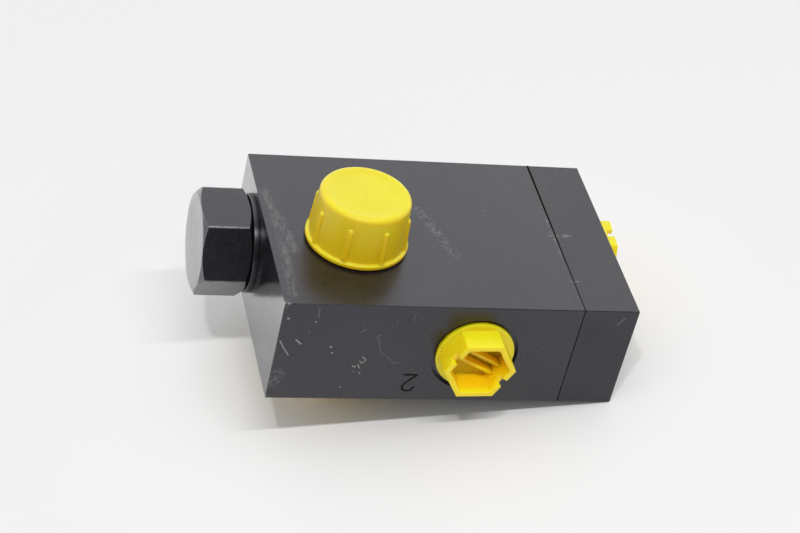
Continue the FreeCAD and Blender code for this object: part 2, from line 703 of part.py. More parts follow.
def make_spring():
    """Compression spring with one closed, ground turn at each end, its round wire drawn eight-sided."""
    body = new_body("poppet_spring")
    start = dim.plug_pocket_floor + dim.guide_head_thickness + dim.flat_gap
    end = POCKET_END - dim.flat_gap
    closed = dim.spring_wire * 1.05
    active = end - start - 2 * closed
    origin_x = LEFT + start
    coils = (
        (as_size(0), closed, as_size(1)),
        (closed, active / dim.spring_turns, dim.spring_turns),
        (closed + active, closed, as_size(1)),
    )
    for offset, pitch, turns in coils:
        wire = new_sketch(body, "XY_Plane", (origin_x, BORE_Y, 0))
        polygon(wire, WIRE_SIDES, dim.spring_wire / 2, HALF_SIDE, (offset, dim.spring_mean_diameter / 2))
        coil = body.newObject("PartDesign::AdditiveHelix", "spring_coil")
        coil.Profile = wire
        coil.ReferenceAxis = (wire, ["H_Axis"])
        coil.Mode = "pitch-turns-angle"
        bind(coil, "Pitch", pitch)
        bind(coil, "Turns", turns)
        finish_feature(body, coil, False)
    reach = dim.spring_mean_diameter
    for side, face in ((-1, 0), (1, end - start)):
        grind = new_sketch(body, "XY_Plane", (origin_x, BORE_Y, 0))
        rectangle(grind, face, 0, face + side * dim.spring_wire, reach)
        groove(body, grind, "H_Axis")


def make_spring_guide():
    body = new_body("spring_guide")
    section = new_sketch(body, "XY_Plane", (LEFT + dim.plug_pocket_floor, BORE_Y, 0))
    head = dim.guide_head_diameter / 2
    stem = dim.guide_stem_diameter / 2
    stem_end = dim.guide_head_thickness + dim.guide_stem_length
    outline(section, (
        (0, 0), (0, head), (dim.guide_head_thickness, head), (dim.guide_head_thickness, stem),
        (stem_end - 1, stem), (stem_end, stem - 1), (stem_end, 0),
    ))
    revolve(body, section, "H_Axis")


# Hexagon plug that closes the flow bore, and its seal ring

def make_bonnet_plug():
    body = new_body("bonnet_plug")
    under_head = -dim.plug_seal_thickness
    head_end = under_head - dim.plug_hex_length
    head = new_sketch(body, "YZ_Plane", (BORE_Y, 0, LEFT + head_end))
    hexagon(head, dim.plug_hex_width, dim.plug_hex_turn)
    pad(body, head, dim.plug_hex_length)

    corner = dim.plug_hex_width / 2 / cosine(30) + 1
    slope = tangent(dim.plug_chamfer_angle)
    front = dim.plug_front_circle
    back = dim.plug_back_circle
    chamfers = new_sketch(body, "XY_Plane", (LEFT, BORE_Y, 0))
    outline(chamfers, ((head_end, front), (head_end, corner), (head_end + (corner - front) * slope, corner)))
    outline(chamfers, ((under_head, back), (under_head, corner), (under_head - (corner - back) * slope, corner)))
    groove(body, chamfers, "H_Axis")

    thread = dim.plug_thread_diameter / 2
    nose = dim.guide_diameter / 2 - dim.plug_nose_gap
    spring = dim.plug_pocket_diameter / 2
    shank = new_sketch(body, "XY_Plane", (LEFT, BORE_Y, 0))
    outline(shank, (
        (under_head - 1, 0), (under_head - 1, thread - 1), (under_head, thread - 1), (under_head, thread),
        (dim.plug_thread_length - 1, thread), (dim.plug_thread_length, thread - 1),
        (dim.plug_thread_length, nose), (POPPET_STOP, nose), (POPPET_STOP, spring),
        (dim.plug_pocket_floor, spring), (dim.plug_pocket_floor, 0),
    ))
    revolve(body, shank, "H_Axis")


def make_bonnet_seal_ring():
    body = new_body("bonnet_seal_ring")
    section = new_sketch(body, "XY_Plane", (LEFT - dim.plug_seal_thickness, BORE_Y, 0))
    outer = dim.plug_seal_diameter / 2
    rectangle(section, 0, dim.plug_seal_bore / 2, dim.plug_seal_thickness, outer)
    ring = revolve(body, section, "H_Axis")
    rims = edge_names(ring, lambda edge: isinstance(edge.Curve, Part.Circle)
                      and abs(edge.Curve.Radius - outer.number) < 1e-4)
    dress(body, "Chamfer", ring, dim.plug_seal_bevel, rims)


# Upper and lower port: threaded nipple, seal ring and ribbed screw cap
# Each is made with its axis on Z and the block face at height 0, then turned to its side.

def port_placement(body, upright):
    """Puts a port piece on the upper face, or turned over on the lower face."""
    if upright:
        place(body, (PORT_X, UPPER_PORT_Y, TOP))
    else:
        place(body, (PORT_X, LOWER_PORT_Y, -TOP), Vector(1, 0, 0), 180)


def make_nipple(label, upright):
    body = new_body(label)
    shank = dim.port_thread_diameter / 2
    outer = dim.nipple_diameter / 2
    bore = dim.port_passage_diameter / 2
    mouth = dim.nipple_mouth_diameter / 2
    throat = mouth - dim.nipple_cone_depth * tangent(dim.nipple_cone_angle)
    height = dim.nipple_height
    cone_floor = height - dim.nipple_cone_depth
    bevel = dim.nipple_end_chamfer
    shank_end = -(dim.port_spot_depth + dim.nipple_shank_length)
    section = new_sketch(body, "XZ_Plane")
    outline(section, (
        (bore, shank_end), (shank - 1, shank_end), (shank, shank_end + 1), (shank, 0),
        (outer - 1, 0), (outer, 1), (outer, height - bevel), (outer - bevel, height),
        (mouth, height), (throat, cone_floor), (bore, cone_floor),
    ))
    revolve(body, section)
    key = new_sketch(body, "XY_Plane", (0, 0, cone_floor))
    hexagon(key, dim.nipple_hex_width)
    pocket(body, key, dim.nipple_hex_depth - dim.nipple_cone_depth)
    port_placement(body, upright)


def make_port_seal(label, upright):
    body = new_body(label)
    section = new_sketch(body, "XZ_Plane")
    rectangle(section, dim.port_seal_bore / 2, -dim.port_spot_depth, dim.port_seal_diameter / 2, 0)
    revolve(body, section)
    port_placement(body, upright)


def make_cap(label, upright):
    body = new_body(label)
    rim = dim.cap_lift
    flange_top = rim + dim.cap_flange_thickness
    crown = dim.cap_crown_height
    base = dim.cap_base_diameter / 2
    top = dim.cap_crown_diameter / 2
    dish = dim.cap_dish_diameter / 2
    dish_floor = crown - dim.cap_dish_depth
    gate = dim.cap_gate_diameter / 2
    flange = dim.cap_flange_diameter / 2
    section = new_sketch(body, "XZ_Plane")
    outline(section, (
        (0, rim), (flange, rim), (flange, flange_top), (base, flange_top), (top, crown),
        (dish + 1, crown), (dish, dish_floor), (gate, dish_floor),
        (gate * 0.8, crown), (0, crown),
    ))
    shell = revolve(body, section)
    dress(body, "Fillet", shell, dim.cap_crown_round, edge_names(
        shell, lambda edge: is_ring(edge, top.number, crown.number)))

    wall_height = crown - flange_top
    lean = arc_tangent(base - top, wall_height)
    foot = base + dim.cap_rib_proud - dim.cap_rib_radius
    rib_height = dim.cap_rib_top - dim.cap_rib_radius - flange_top
    head = foot - rib_height * tangent(lean)
    rib = body.newObject("PartDesign::AdditiveCylinder", "grip_rib")
    bind(rib, "Radius", dim.cap_rib_radius)
    bind(rib, "Height", rib_height / cosine(lean))
    rib.Placement = Placement(Vector(0, 0, 0), Rotation(Vector(0, 1, 0), -lean.number))
    bind(rib, "Placement.Base.x", foot)
    bind(rib, "Placement.Base.z", flange_top)
    bind(rib, "Placement.Rotation.Angle", -lean)
    finish_feature(body, rib, False)
    dome = body.newObject("PartDesign::AdditiveSphere", "grip_rib_end")
    bind(dome, "Radius", dim.cap_rib_radius)
    bind(dome, "Placement.Base.x", head)
    bind(dome, "Placement.Base.z", flange_top + rib_height)
    finish_feature(body, dome, False)
    pattern = body.newObject("PartDesign::PolarPattern", "grip_ribs")
    pattern.Originals = [rib, dome]
    pattern.Axis = (section, ["V_Axis"])
    pattern.Angle = FULL_TURN
    bind(pattern, "Occurrences", dim.cap_rib_count)
    body.Tip = pattern
    doc.recompute()

    opening = new_sketch(body, "XY_Plane", (0, 0, rim))
    circle(opening, 0, 0, dim.cap_bore_diameter / 2)
    pocket(body, opening, crown - dim.cap_crown_thickness - rim, backwards=True)
    port_placement(body, upright)


# Yellow screw stoppers of outlet and inlet, made with the axis on Z and the spot face at 0

def make_stopper(label, hex_turn, origin, axis, angle):
    body = new_body(label)
    shank = dim.pipe_thread_diameter / 2 - dim.stopper_thread_gap
    hollow = shank - dim.stopper_wall
    flange = dim.stopper_flange_diameter / 2
    under = dim.flat_gap
    flange_top = under + dim.stopper_flange_thickness
    rim = flange_top + dim.stopper_hex_height
    cup_floor = rim - dim.stopper_cup_depth
    floor_under = cup_floor - dim.stopper_wall
    end = under - dim.stopper_shank_length
    section = new_sketch(body, "XZ_Plane")
    outline(section, (
        (0, flange_top), (flange, flange_top), (flange, under), (shank, under), (shank, end + 1),
        (shank - 1, end), (hollow, end), (hollow, floor_under), (0, floor_under),
    ))
    revolve(body, section)

    head = new_sketch(body, "XY_Plane", (0, 0, flange_top))
    hexagon(head, dim.stopper_hex_width, hex_turn)
    pad(body, head, dim.stopper_hex_height)
    inner_width = dim.stopper_hex_width - 2 * dim.stopper_hex_wall
    cup = new_sketch(body, "XY_Plane", (0, 0, rim))
    hexagon(cup, inner_width, hex_turn)
    pocket(body, cup, dim.stopper_cup_depth)

    slot_turn = hex_turn - 30
    half = dim.stopper_slot_width / 2
    reach = inner_width / 2 + dim.stopper_hex_wall / 2
    ribs = new_sketch(body, "XY_Plane", (0, 0, cup_floor))
    for near, far in ((half, half + dim.stopper_rib_thickness), (-half - dim.stopper_rib_thickness, -half)):
        outline(ribs, turned(((-reach, near), (reach, near), (reach, far), (-reach, far)), slot_turn))
    pad(body, ribs, dim.stopper_rib_height)
    slot = new_sketch(body, "XY_Plane", (0, 0, rim))
    over = dim.stopper_hex_width
    outline(slot, turned(((-over, -half), (over, -half), (over, half), (-over, half)), slot_turn))
    pocket(body, slot, dim.stopper_slot_depth)
    place(body, origin, axis, angle)


def turned(points, angle):
    """Turns sketch points about the sketch's origin."""
    return [(x * cosine(angle) - y * sine(angle), x * sine(angle) + y * cosine(angle)) for x, y in points]


make_valve_block()
make_end_plate()
make_gaskets()
make_cover_screws()
make_dowel_pins()
make_seat_insert()
make_poppet()
make_spring()
make_spring_guide()
make_bonnet_plug()
make_bonnet_seal_ring()
for side, upright in (("top", True), ("bottom", False)):
    make_nipple(f"{side}_port_nipple", upright)
    make_port_seal(f"{side}_port_seal", upright)
    make_cap(f"{side}_port_cap", upright)
outlet_seat = (OUTLET_X, FRONT + dim.outlet_spot_depth, 0)
make_stopper("outlet_stopper", dim.outlet_stopper_turn, outlet_seat, Vector(1, 0, 0), 90)
inlet_seat = (RIGHT - dim.inlet_spot_depth, BORE_Y, 0)
make_stopper("inlet_stopper", dim.inlet_stopper_turn, inlet_seat, Vector(0, 1, 0), 90)
doc.recompute()

# Checks and export
for item in doc.Objects:
    if "Invalid" in item.State or "Error" in item.State:
        raise RuntimeError(f"{item.Label} failed: {item.State}")
os.makedirs("parts", exist_ok=True)
for node in nodes:
    shape = node.Shape
    if shape.isNull() or not shape.isValid():
        raise RuntimeError(f"{node.Label} has no valid shape")
    shape.exportStep(f"parts/{node.Label}.step")
    box = shape.BoundBox
    print(f"{node.Label}: {len(shape.Solids)} solids, {shape.Volume:.0f} mm3, "
          f"x {box.XMin:.2f} {box.XMax:.2f}, y {box.YMin:.2f} {box.YMax:.2f}, z {box.ZMin:.2f} {box.ZMax:.2f}")
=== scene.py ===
import math
import random

import bmesh
import bpy
from mathutils import Matrix, Vector


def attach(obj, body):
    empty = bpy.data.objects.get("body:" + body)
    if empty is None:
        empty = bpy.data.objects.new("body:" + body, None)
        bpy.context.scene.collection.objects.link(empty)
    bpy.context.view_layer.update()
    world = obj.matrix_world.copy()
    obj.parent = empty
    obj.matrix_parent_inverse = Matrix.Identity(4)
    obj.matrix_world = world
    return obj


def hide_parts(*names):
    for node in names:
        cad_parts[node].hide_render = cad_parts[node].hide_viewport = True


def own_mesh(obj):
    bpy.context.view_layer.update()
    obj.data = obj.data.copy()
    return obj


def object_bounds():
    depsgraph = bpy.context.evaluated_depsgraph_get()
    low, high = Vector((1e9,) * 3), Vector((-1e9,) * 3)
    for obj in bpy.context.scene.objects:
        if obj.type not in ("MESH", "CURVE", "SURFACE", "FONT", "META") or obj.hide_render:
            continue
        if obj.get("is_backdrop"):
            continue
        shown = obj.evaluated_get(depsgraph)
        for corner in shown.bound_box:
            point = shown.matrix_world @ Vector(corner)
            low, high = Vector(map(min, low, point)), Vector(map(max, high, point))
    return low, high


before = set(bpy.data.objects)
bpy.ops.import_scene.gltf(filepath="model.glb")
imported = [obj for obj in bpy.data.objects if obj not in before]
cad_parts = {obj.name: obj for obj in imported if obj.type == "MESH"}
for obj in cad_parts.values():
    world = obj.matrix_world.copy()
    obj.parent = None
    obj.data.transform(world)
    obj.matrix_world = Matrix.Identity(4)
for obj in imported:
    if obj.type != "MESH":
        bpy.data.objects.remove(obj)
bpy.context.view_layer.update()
rng = random.Random(17)

MM = 0.001
QUARTER = math.pi / 2


# Places and sizes read from the frame, in millimetres

def box_of(name):
    """Low and high corner of a node of the frame."""
    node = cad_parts[name]
    corners = [node.matrix_world @ Vector(corner) / MM for corner in node.bound_box]
    low = Vector(min(corner[i] for corner in corners) for i in range(3))
    high = Vector(max(corner[i] for corner in corners) for i in range(3))
    return low, high


def centre_of(name):
    """Middle of a node's box."""
    low, high = box_of(name)
    return (low + high) / 2


LEFT, FRONT = box_of("valve_block")[0][:2]
JOINT, _, TOP = box_of("valve_block")[1]
RIGHT = box_of("end_plate")[1].x
BORE_Y = centre_of("bonnet_plug").y
UPPER_PORT = centre_of("top_port_nipple")
LOWER_PORT = centre_of("bottom_port_nipple")
OUTLET_X = centre_of("outlet_stopper").x
SEAL_THICKNESS = LEFT - box_of("bonnet_seal_ring")[0].x

# Sizes of the part that no box gives, in millimetres
OUTLET_SPOT_DEPTH, INLET_SPOT_DEPTH = 2.0, 1.0
CAP_CROWN, CAP_CROWN_RADIUS, CAP_SHOULDER = 24.2, 18.95, 2.2
NIPPLE_RADIUS, NIPPLE_PITCH = 17.9, 2.0
SCREW_SINK_DEPTH = 8.6
SCREW_ROWS_Y = (BORE_Y - 21, BORE_Y + 21, FRONT + 10)
SCREW_ROWS_Z = (-15.5, 15.5)
MOUNTS_X, MOUNTS_Z = (-35, 35), (-15.5, 15.5)


# Mesh helpers

def shown(name, data):
    """A new object of the scene for a mesh, a lamp or a camera."""
    item = bpy.data.objects.new(name, data)
    bpy.context.scene.collection.objects.link(item)
    return item


def finish_mesh(name, mesh, body, replaced=(), matrix=None, sharp=35):
    """Puts a mesh in millimetres into the scene as a piece that rides on a body."""
    bm = bmesh.new()
    bm.from_mesh(mesh)
    bmesh.ops.remove_doubles(bm, verts=bm.verts, dist=1e-5)
    bmesh.ops.recalc_face_normals(bm, faces=bm.faces)
    if matrix is not None:
        bm.transform(matrix)
    bm.transform(Matrix.Scale(MM, 4))
    limit = math.radians(sharp)
    for face in bm.faces:
        face.smooth = True
    for edge in bm.edges:
        if len(edge.link_faces) == 2 and edge.calc_face_angle(0) > limit:
            edge.smooth = False
    bm.to_mesh(mesh)
    bm.free()
    piece = shown(name, mesh)
    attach(piece, body)
    if replaced:
        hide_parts(*replaced)
    return piece


def mesh_of(name, vertices, faces):
    """A mesh from its points and faces."""
    mesh = bpy.data.meshes.new(name)
    mesh.from_pydata(vertices, [], faces)
    return mesh


def ring_mesh(name, rings, count, closed=False):
    """A mesh of rings about Z. Each ring gives (radius, height) for an angle, or is such a pair."""
    vertices, faces, rows = [], [], []
    for ring in rings:
        if not callable(ring) and ring[0] == 0:
            rows.append([len(vertices)])
            vertices.append((0, 0, ring[1]))
            continue
        row = []
        for k in range(count):
            angle = 2 * math.pi * k / count
            radius, height = ring(angle) if callable(ring) else ring
            row.append(len(vertices))
            vertices.append((radius * math.cos(angle), radius * math.sin(angle), height))
        rows.append(row)
    pairs = list(zip(rows, rows[1:]))
    if closed:
        pairs.append((rows[-1], rows[0]))
    for lower, upper in pairs:
        for k in range(count):
            following = (k + 1) % count
            if len(lower) == 1:
                faces.append((lower[0], upper[following], upper[k]))
            elif len(upper) == 1:
                faces.append((lower[k], lower[following], upper[0]))
            else:
                faces.append((lower[k], lower[following], upper[following], upper[k]))
    return mesh_of(name, vertices, faces)


def tube_faces(stations, sides):
    """Faces of a capped tube whose points run round one station after the other."""
    faces = [tuple(range(sides)), tuple((stations - 1) * sides + i for i in range(sides))]
    for k in range(stations - 1):
        for i in range(sides):
            j = (i + 1) % sides
            faces.append((k * sides + i, k * sides + j, (k + 1) * sides + j, (k + 1) * sides + i))
    return faces


def join_meshes(name, meshes):
    """One mesh from several."""
    bm = bmesh.new()
    for mesh in meshes:
        bm.from_mesh(mesh)
    joined = bpy.data.meshes.new(name)
    bm.to_mesh(joined)
    bm.free()
    return joined


def arc(centre_r, centre_h, radius, start, end, steps):
    """Points of a rounded corner in a section, from one angle to the other in degrees."""
    points = []
    for i in range(steps + 1):
        angle = math.radians(start + (end - start) * i / steps)
        points.append((centre_r + radius * math.cos(angle), centre_h + radius * math.sin(angle)))
    return points


def hexagon_radius(across_flats, turn):
    """Radius of a hexagon against the angle, its first corner at the angle turn in degrees."""
    def radius(angle):
        off = (math.degrees(angle) - turn) % 60 - 30
        return across_flats / 2 / math.cos(math.radians(off))
    return radius


def at_height(radius, height):
    """A ring of a radius that changes with the angle."""
    return lambda angle: (radius(angle), height)


def thread_rings(major, minor, pitch, low, high):
    """Rings of a single-start thread that runs out at both ends."""
    rings_per_turn, run_out, crest, flank_share = 8, 0.6, 0.12, 0.76
    rows = []
    height = low
    step = pitch / rings_per_turn
    while height < high - step * 0.5:
        def ring(angle, height=height):
            phase = (height / pitch - angle / (2 * math.pi)) % 1.0
            flank = abs(phase - 0.5) * 2
            tooth = min(1.0, max(0.0, (flank - crest) / flank_share))
            into = min(height - low, high - height) / (pitch * run_out)
            depth = min(1.0, max(0.0, into))
            return major - (major - minor) * tooth * depth, height
        rows.append(ring)
        height += step
    rows.append((major, high))
    return rows


def evaluated(item):
    """A copy of the object's mesh with its modifiers applied."""
    graph = bpy.context.evaluated_depsgraph_get()
    return bpy.data.meshes.new_from_object(item.evaluated_get(graph))


def cut(mesh, cutter):
    """The mesh with another one cut out of it."""
    first = shown("work_a", mesh)
    second = shown("work_b", cutter)
    modifier = first.modifiers.new("boolean", "BOOLEAN")
    modifier.operation = "DIFFERENCE"
    modifier.solver = "EXACT"
    modifier.object = second
    result = evaluated(first)
    bpy.data.objects.remove(first)
    bpy.data.objects.remove(second)
    return result


def bevelled(mesh, width, segments, limit):
    """The mesh with its edges rounded where they are sharper than the limit in degrees."""
    item = shown("work", mesh)
    modifier = item.modifiers.new("bevel", "BEVEL")
    modifier.width = width
    modifier.segments = segments
    modifier.limit_method = "ANGLE"
    modifier.angle_limit = math.radians(limit)
    modifier.miter_outer = "MITER_ARC"
    result = evaluated(item)
    bpy.data.objects.remove(item)
    return result


def box_mesh(name, low, high, matrix):
    """A box between two corners, then moved by the matrix."""
    bm = bmesh.new()
    bmesh.ops.create_cube(bm, size=1)
    size = Vector(high) - Vector(low)
    centre = (Vector(high) + Vector(low)) / 2
    bm.transform(Matrix.Translation(centre) @ Matrix.Diagonal((*size, 1)))
    bm.transform(matrix)
    mesh = bpy.data.meshes.new(name)
    bm.to_mesh(mesh)
    bm.free()
    return mesh


def weld(mesh):
    """Merges doubled points and coplanar faces."""
    bm = bmesh.new()
    bm.from_mesh(mesh)
    bmesh.ops.remove_doubles(bm, verts=bm.verts, dist=1e-4)
    bmesh.ops.recalc_face_normals(bm, faces=bm.faces)
    bmesh.ops.dissolve_limit(bm, angle_limit=math.radians(0.5), verts=bm.verts, edges=bm.edges)
    bm.to_mesh(mesh)
    bm.free()
    return mesh


# Material helpers

class Shader:
    """A node material with one Principled BSDF."""

    SOFT_EDGE = 0.35

    def __init__(self, name, **sockets):
        self.material = bpy.data.materials.new(name)
        self.material.use_nodes = True
        self.tree = self.material.node_tree
        self.surface = self.tree.nodes["Principled BSDF"]
        for socket, value in sockets.items():
            self.surface.inputs[socket.replace("_", " ")].default_value = value
        self.place = self.add("ShaderNodeTexCoord").outputs["Object"]
        self.normal = None

    def add(self, kind, inputs=None, **settings):
        item = self.tree.nodes.new(kind)
        for key, value in settings.items():
            setattr(item, key, value)
        for key, value in (inputs or {}).items():
            self.give(item.inputs[key], value)
        return item

    def give(self, socket, value):
        if isinstance(value, bpy.types.NodeSocket):
            self.tree.links.new(value, socket)
        else:
            socket.default_value = value

    def to(self, socket, value):
        """Sets or links a socket of the surface."""
        self.give(self.surface.inputs[socket], value)

    def math(self, operation, *values, clamp=False):
        item = self.add("ShaderNodeMath", operation=operation, use_clamp=clamp)
        for socket, value in zip(item.inputs, values):
            self.give(socket, value)
        return item.outputs[0]

    def product(self, first, *factors):
        for factor in factors:
            first = self.math("MULTIPLY", first, factor)
        return first

    def most(self, masks):
        """The strongest of several masks."""
        result = masks[0]
        for mask in masks[1:]:
            result = self.math("MAXIMUM", result, mask)
        return result

    def vector(self, operation, *values):
        item = self.add("ShaderNodeVectorMath", operation=operation)
        for socket, value in zip(item.inputs, values):
            self.give(socket, value)
        return item

    def parts(self, vector):
        """X, Y and Z of a vector."""
        return self.add("ShaderNodeSeparateXYZ", {0: vector}).outputs

    def facing(self):
        """X, Y and Z of the surface's direction."""
        return self.parts(self.add("ShaderNodeTexCoord").outputs["Normal"])

    def off_axis(self, first, second):
        """Distance from an axis, by the two coordinates across it."""
        across = self.add("ShaderNodeCombineXYZ", {0: first, 1: second}).outputs[0]
        return self.vector("LENGTH", across).outputs["Value"]

    def noise(self, scale, detail=4.0, rough=0.55, stretch=(1, 1, 1), seed=0.0, distortion=0.0):
        """Noise between 0 and 1 with scale in cycles per metre."""
        moved = self.add("ShaderNodeMapping", {
            "Vector": self.place, "Location": (seed, seed * 0.7, -seed), "Scale": stretch})
        return self.add("ShaderNodeTexNoise", {
            "Vector": moved.outputs[0], "Scale": scale, "Detail": detail, "Roughness": rough,
            "Distortion": distortion}).outputs["Fac"]

    def ramp(self, value, low, high, out_low=0.0, out_high=1.0, smooth=False):
        """The value taken from one range to another, and held at its ends."""
        return self.add("ShaderNodeMapRange", {
            "Value": value, "From Min": low, "From Max": high, "To Min": out_low, "To Max": out_high},
            interpolation_type="SMOOTHSTEP" if smooth else "LINEAR").outputs[0]

    def mix(self, factor, first, second):
        """The second colour over the first."""
        item = self.add("ShaderNodeMix", data_type="RGBA")
        sockets = item.inputs[0], item.inputs[6], item.inputs[7]
        for socket, value in zip(sockets, (factor, first, second)):
            self.give(socket, value)
        return item.outputs[2]

    def scaled(self, colour, factor):
        """A colour made lighter or darker."""
        return self.add("ShaderNodeVectorMath", {0: colour, 3: factor}, operation="SCALE").outputs[0]

    def dot(self, at, radius):
        """1 within a round spot, with a soft edge."""
        far = self.vector("DISTANCE", self.place, at).outputs["Value"]
        return self.ramp(far, radius, radius * self.SOFT_EDGE)

    def stroke(self, start, end, reach):
        """1 along a straight line, with soft sides that end at the reach."""
        span = end - start
        offset = self.vector("SUBTRACT", self.place, start).outputs[0]
        share = self.vector("DOT_PRODUCT", offset, span / span.length_squared).outputs["Value"]
        share = self.math("ADD", share, 0.0, clamp=True)
        foot = self.vector("MULTIPLY_ADD", share, span, start).outputs[0]
        far = self.vector("DISTANCE", self.place, foot).outputs["Value"]
        return self.ramp(far, reach, reach * self.SOFT_EDGE)

    def bump(self, height, strength, distance):
        """Adds relief to what is there already."""
        inputs = {"Height": height, "Strength": strength, "Distance": distance}
        if self.normal is not None:
            inputs["Normal"] = self.normal
        self.normal = self.add("ShaderNodeBump", inputs).outputs[0]
        self.to("Normal", self.normal)


def tinted(base, factors):
    """A colour as a socket value, each channel times its factor."""
    return (*(channel * factor for channel, factor in zip(base, factors)), 1)


def grey(base, factor):
    """A colour of the same hue, lighter or darker, as a socket value."""
    return tinted(base, (factor,) * 3)


WORN_STEEL = (0.36, 0.35, 0.34, 1)
STEEL_SPECK = (0.42, 0.41, 0.40, 1)
# Painted shade of the stamped grooves
STAMP_GROOVE_SHADE = (0.002, 0.002, 0.002, 1)
DIRT = (0.10, 0.075, 0.02, 1)
# Painted light: the deeper orange of light inside a stopper's cup
CUP_PAINTED_GLOW = (0.99, 0.635, 0.0015, 1)


def blackened_steel(name, base, rough, grain=(1, 1, 1), specks=0.0, index=1.61, marks=None,
                    fine_left=0.0):
    """Milled or turned steel with a satin black finish, slightly cloudy, with fine specks.

    The marks add wear and a stamped figure, whose grooves are painted near black as their shade. The
    face towards -X is smoother by fine_left.
    """
    s = Shader(name, IOR=index, Specular_Tint=(0.96, 0.94, 1.06, 1))
    cloud = s.noise(38, 5, 0.6, seed=1.3)
    broad = s.noise(24, 3, 0.5, stretch=(1, 0.45, 1), seed=12.0, distortion=0.6)
    fine = s.noise(1050, 3, 0.6, seed=4.0)
    lines = s.noise(1500, 2, 0.5, stretch=grain, seed=2.0)
    tone = s.math("ADD", s.math("MULTIPLY", cloud, 0.5), s.math("MULTIPLY", broad, 0.5))
    cool, warm = tinted(base, (0.62, 0.66, 0.85)), tinted(base, (1.42, 1.32, 1.20))
    colour = s.mix(s.ramp(tone, 0.38, 0.62), cool, warm)
    colour = s.scaled(colour, s.ramp(fine, 0.3, 0.7, 0.15, 1.85))
    if specks:
        cell = s.add("ShaderNodeTexVoronoi", {"Vector": s.place, "Scale": 260.0, "Randomness": 1.0})
        dot = s.ramp(cell.outputs["Distance"], 0.075, 0.03)
        split = s.add("ShaderNodeSeparateColor", {"Color": cell.outputs["Color"]})
        chosen = s.ramp(split.outputs[0], 1.0 - specks, 1.0)
        colour = s.mix(s.math("MULTIPLY", dot, s.math("MULTIPLY", chosen, 0.9)), colour, STEEL_SPECK)
    stamped = None
    if marks:
        worn, stamped = marks(s)
        colour = s.mix(worn, colour, WORN_STEEL)
    # Painted shade in the stamped grooves: near black and with little reflection, over the bump's
    # relief.
    if stamped is not None:
        colour = s.mix(stamped, colour, STAMP_GROOVE_SHADE)
        s.to("Specular IOR Level", s.ramp(stamped, 0.0, 1.0, 0.5, 0.05))
    s.to("Base Color", colour)
    uneven = s.math("ADD", cloud, s.math("MULTIPLY", fine, 0.3))
    dull = s.ramp(uneven, 0.4, 0.9, rough - 0.05, rough + 0.07)
    if fine_left:
        dull = s.math("SUBTRACT", dull, s.ramp(s.facing()[0], -0.5, -0.9, 0.0, fine_left))
    s.to("Roughness", dull)
    s.bump(lines, 0.10, 0.00002)
    s.bump(fine, 0.12, 0.00002)
    if stamped is not None:
        s.bump(s.math("SUBTRACT", 1.0, stamped), 0.6, 0.0002)
    return s.material


def bare_steel(name, base, rough, grain=(1, 1, 1)):
    """Ground or drawn bright steel."""
    s = Shader(name, Metallic=1.0)
    line = s.noise(2200, 2, 0.5, stretch=grain, seed=3.0)
    cloud = s.noise(70, 4, 0.5, seed=6.0)
    s.to("Base Color", s.mix(cloud, grey(base, 0.85), grey(base, 1.1)))
    s.to("Roughness", s.ramp(line, 0.3, 0.7, rough - 0.05, rough + 0.08))
    s.bump(line, 0.12, 0.00002)
    return s.material


def yellow_plastic(name, side, above, depth, cup=None):
    """Soft moulded polyethylene: translucent, fine orange peel, dirt specks, and painted light: a
    lighter, yellower colour where it faces up and the deeper side colour where it leans away.

    Where the cup's mask is 1, the colour is painted a deeper orange for the light that comes through the
    walls and bounces inside the cup: painted light.
    """
    s = Shader(name, IOR=1.5, Subsurface_Weight=0.7, Subsurface_Scale=depth)
    s.surface.inputs["Subsurface Radius"].default_value = (1.0, 0.5, 0.07)
    cloud = s.noise(45, 3, 0.5, seed=5.0)
    peel = s.noise(1400, 2, 0.5, seed=7.0)
    # Painted light: faces that point up get the lighter above colour and the others the deeper side
    # colour, as if lit from above.
    colour = s.mix(s.ramp(s.facing()[2], 0.35, 0.9, smooth=True), (*side, 1), (*above, 1))
    if cup:
        # Painted light inside the stopper's cup: a deeper orange for light through and between its
        # walls.
        colour = s.mix(cup(s), colour, CUP_PAINTED_GLOW)
    colour = s.scaled(colour, s.ramp(cloud, 0.35, 0.65, 0.97, 1.02))
    grains = s.ramp(s.noise(900, 3, 0.6, seed=9.0), 0.66, 0.72)
    patches = s.ramp(s.noise(110, 2, 0.5, seed=10.0), 0.52, 0.62)
    colour = s.mix(s.product(grains, patches, 0.8), colour, DIRT)
    s.to("Base Color", colour)
    s.to("Roughness", s.ramp(cloud, 0.3, 0.7, 0.36, 0.46))
    s.bump(peel, 0.08, 0.00003)
    s.bump(cloud, 0.25, 0.0004)
    return s.material


def rubber(name, base=(0.018, 0.018, 0.019), rough=0.6, shine=0.5):
    """Matt rubber, or a plain plastic with the base colour given."""
    s = Shader(name, IOR=1.5, Specular_IOR_Level=shine)
    fine = s.noise(1800, 3, 0.6)
    s.to("Base Color", s.mix(fine, grey(base, 0.8), grey(base, 1.25)))
    s.to("Roughness", s.ramp(fine, 0.3, 0.7, rough - 0.06, rough + 0.1))
    s.bump(fine, 0.2, 0.00003)
    return s.material


# Wear and stamping

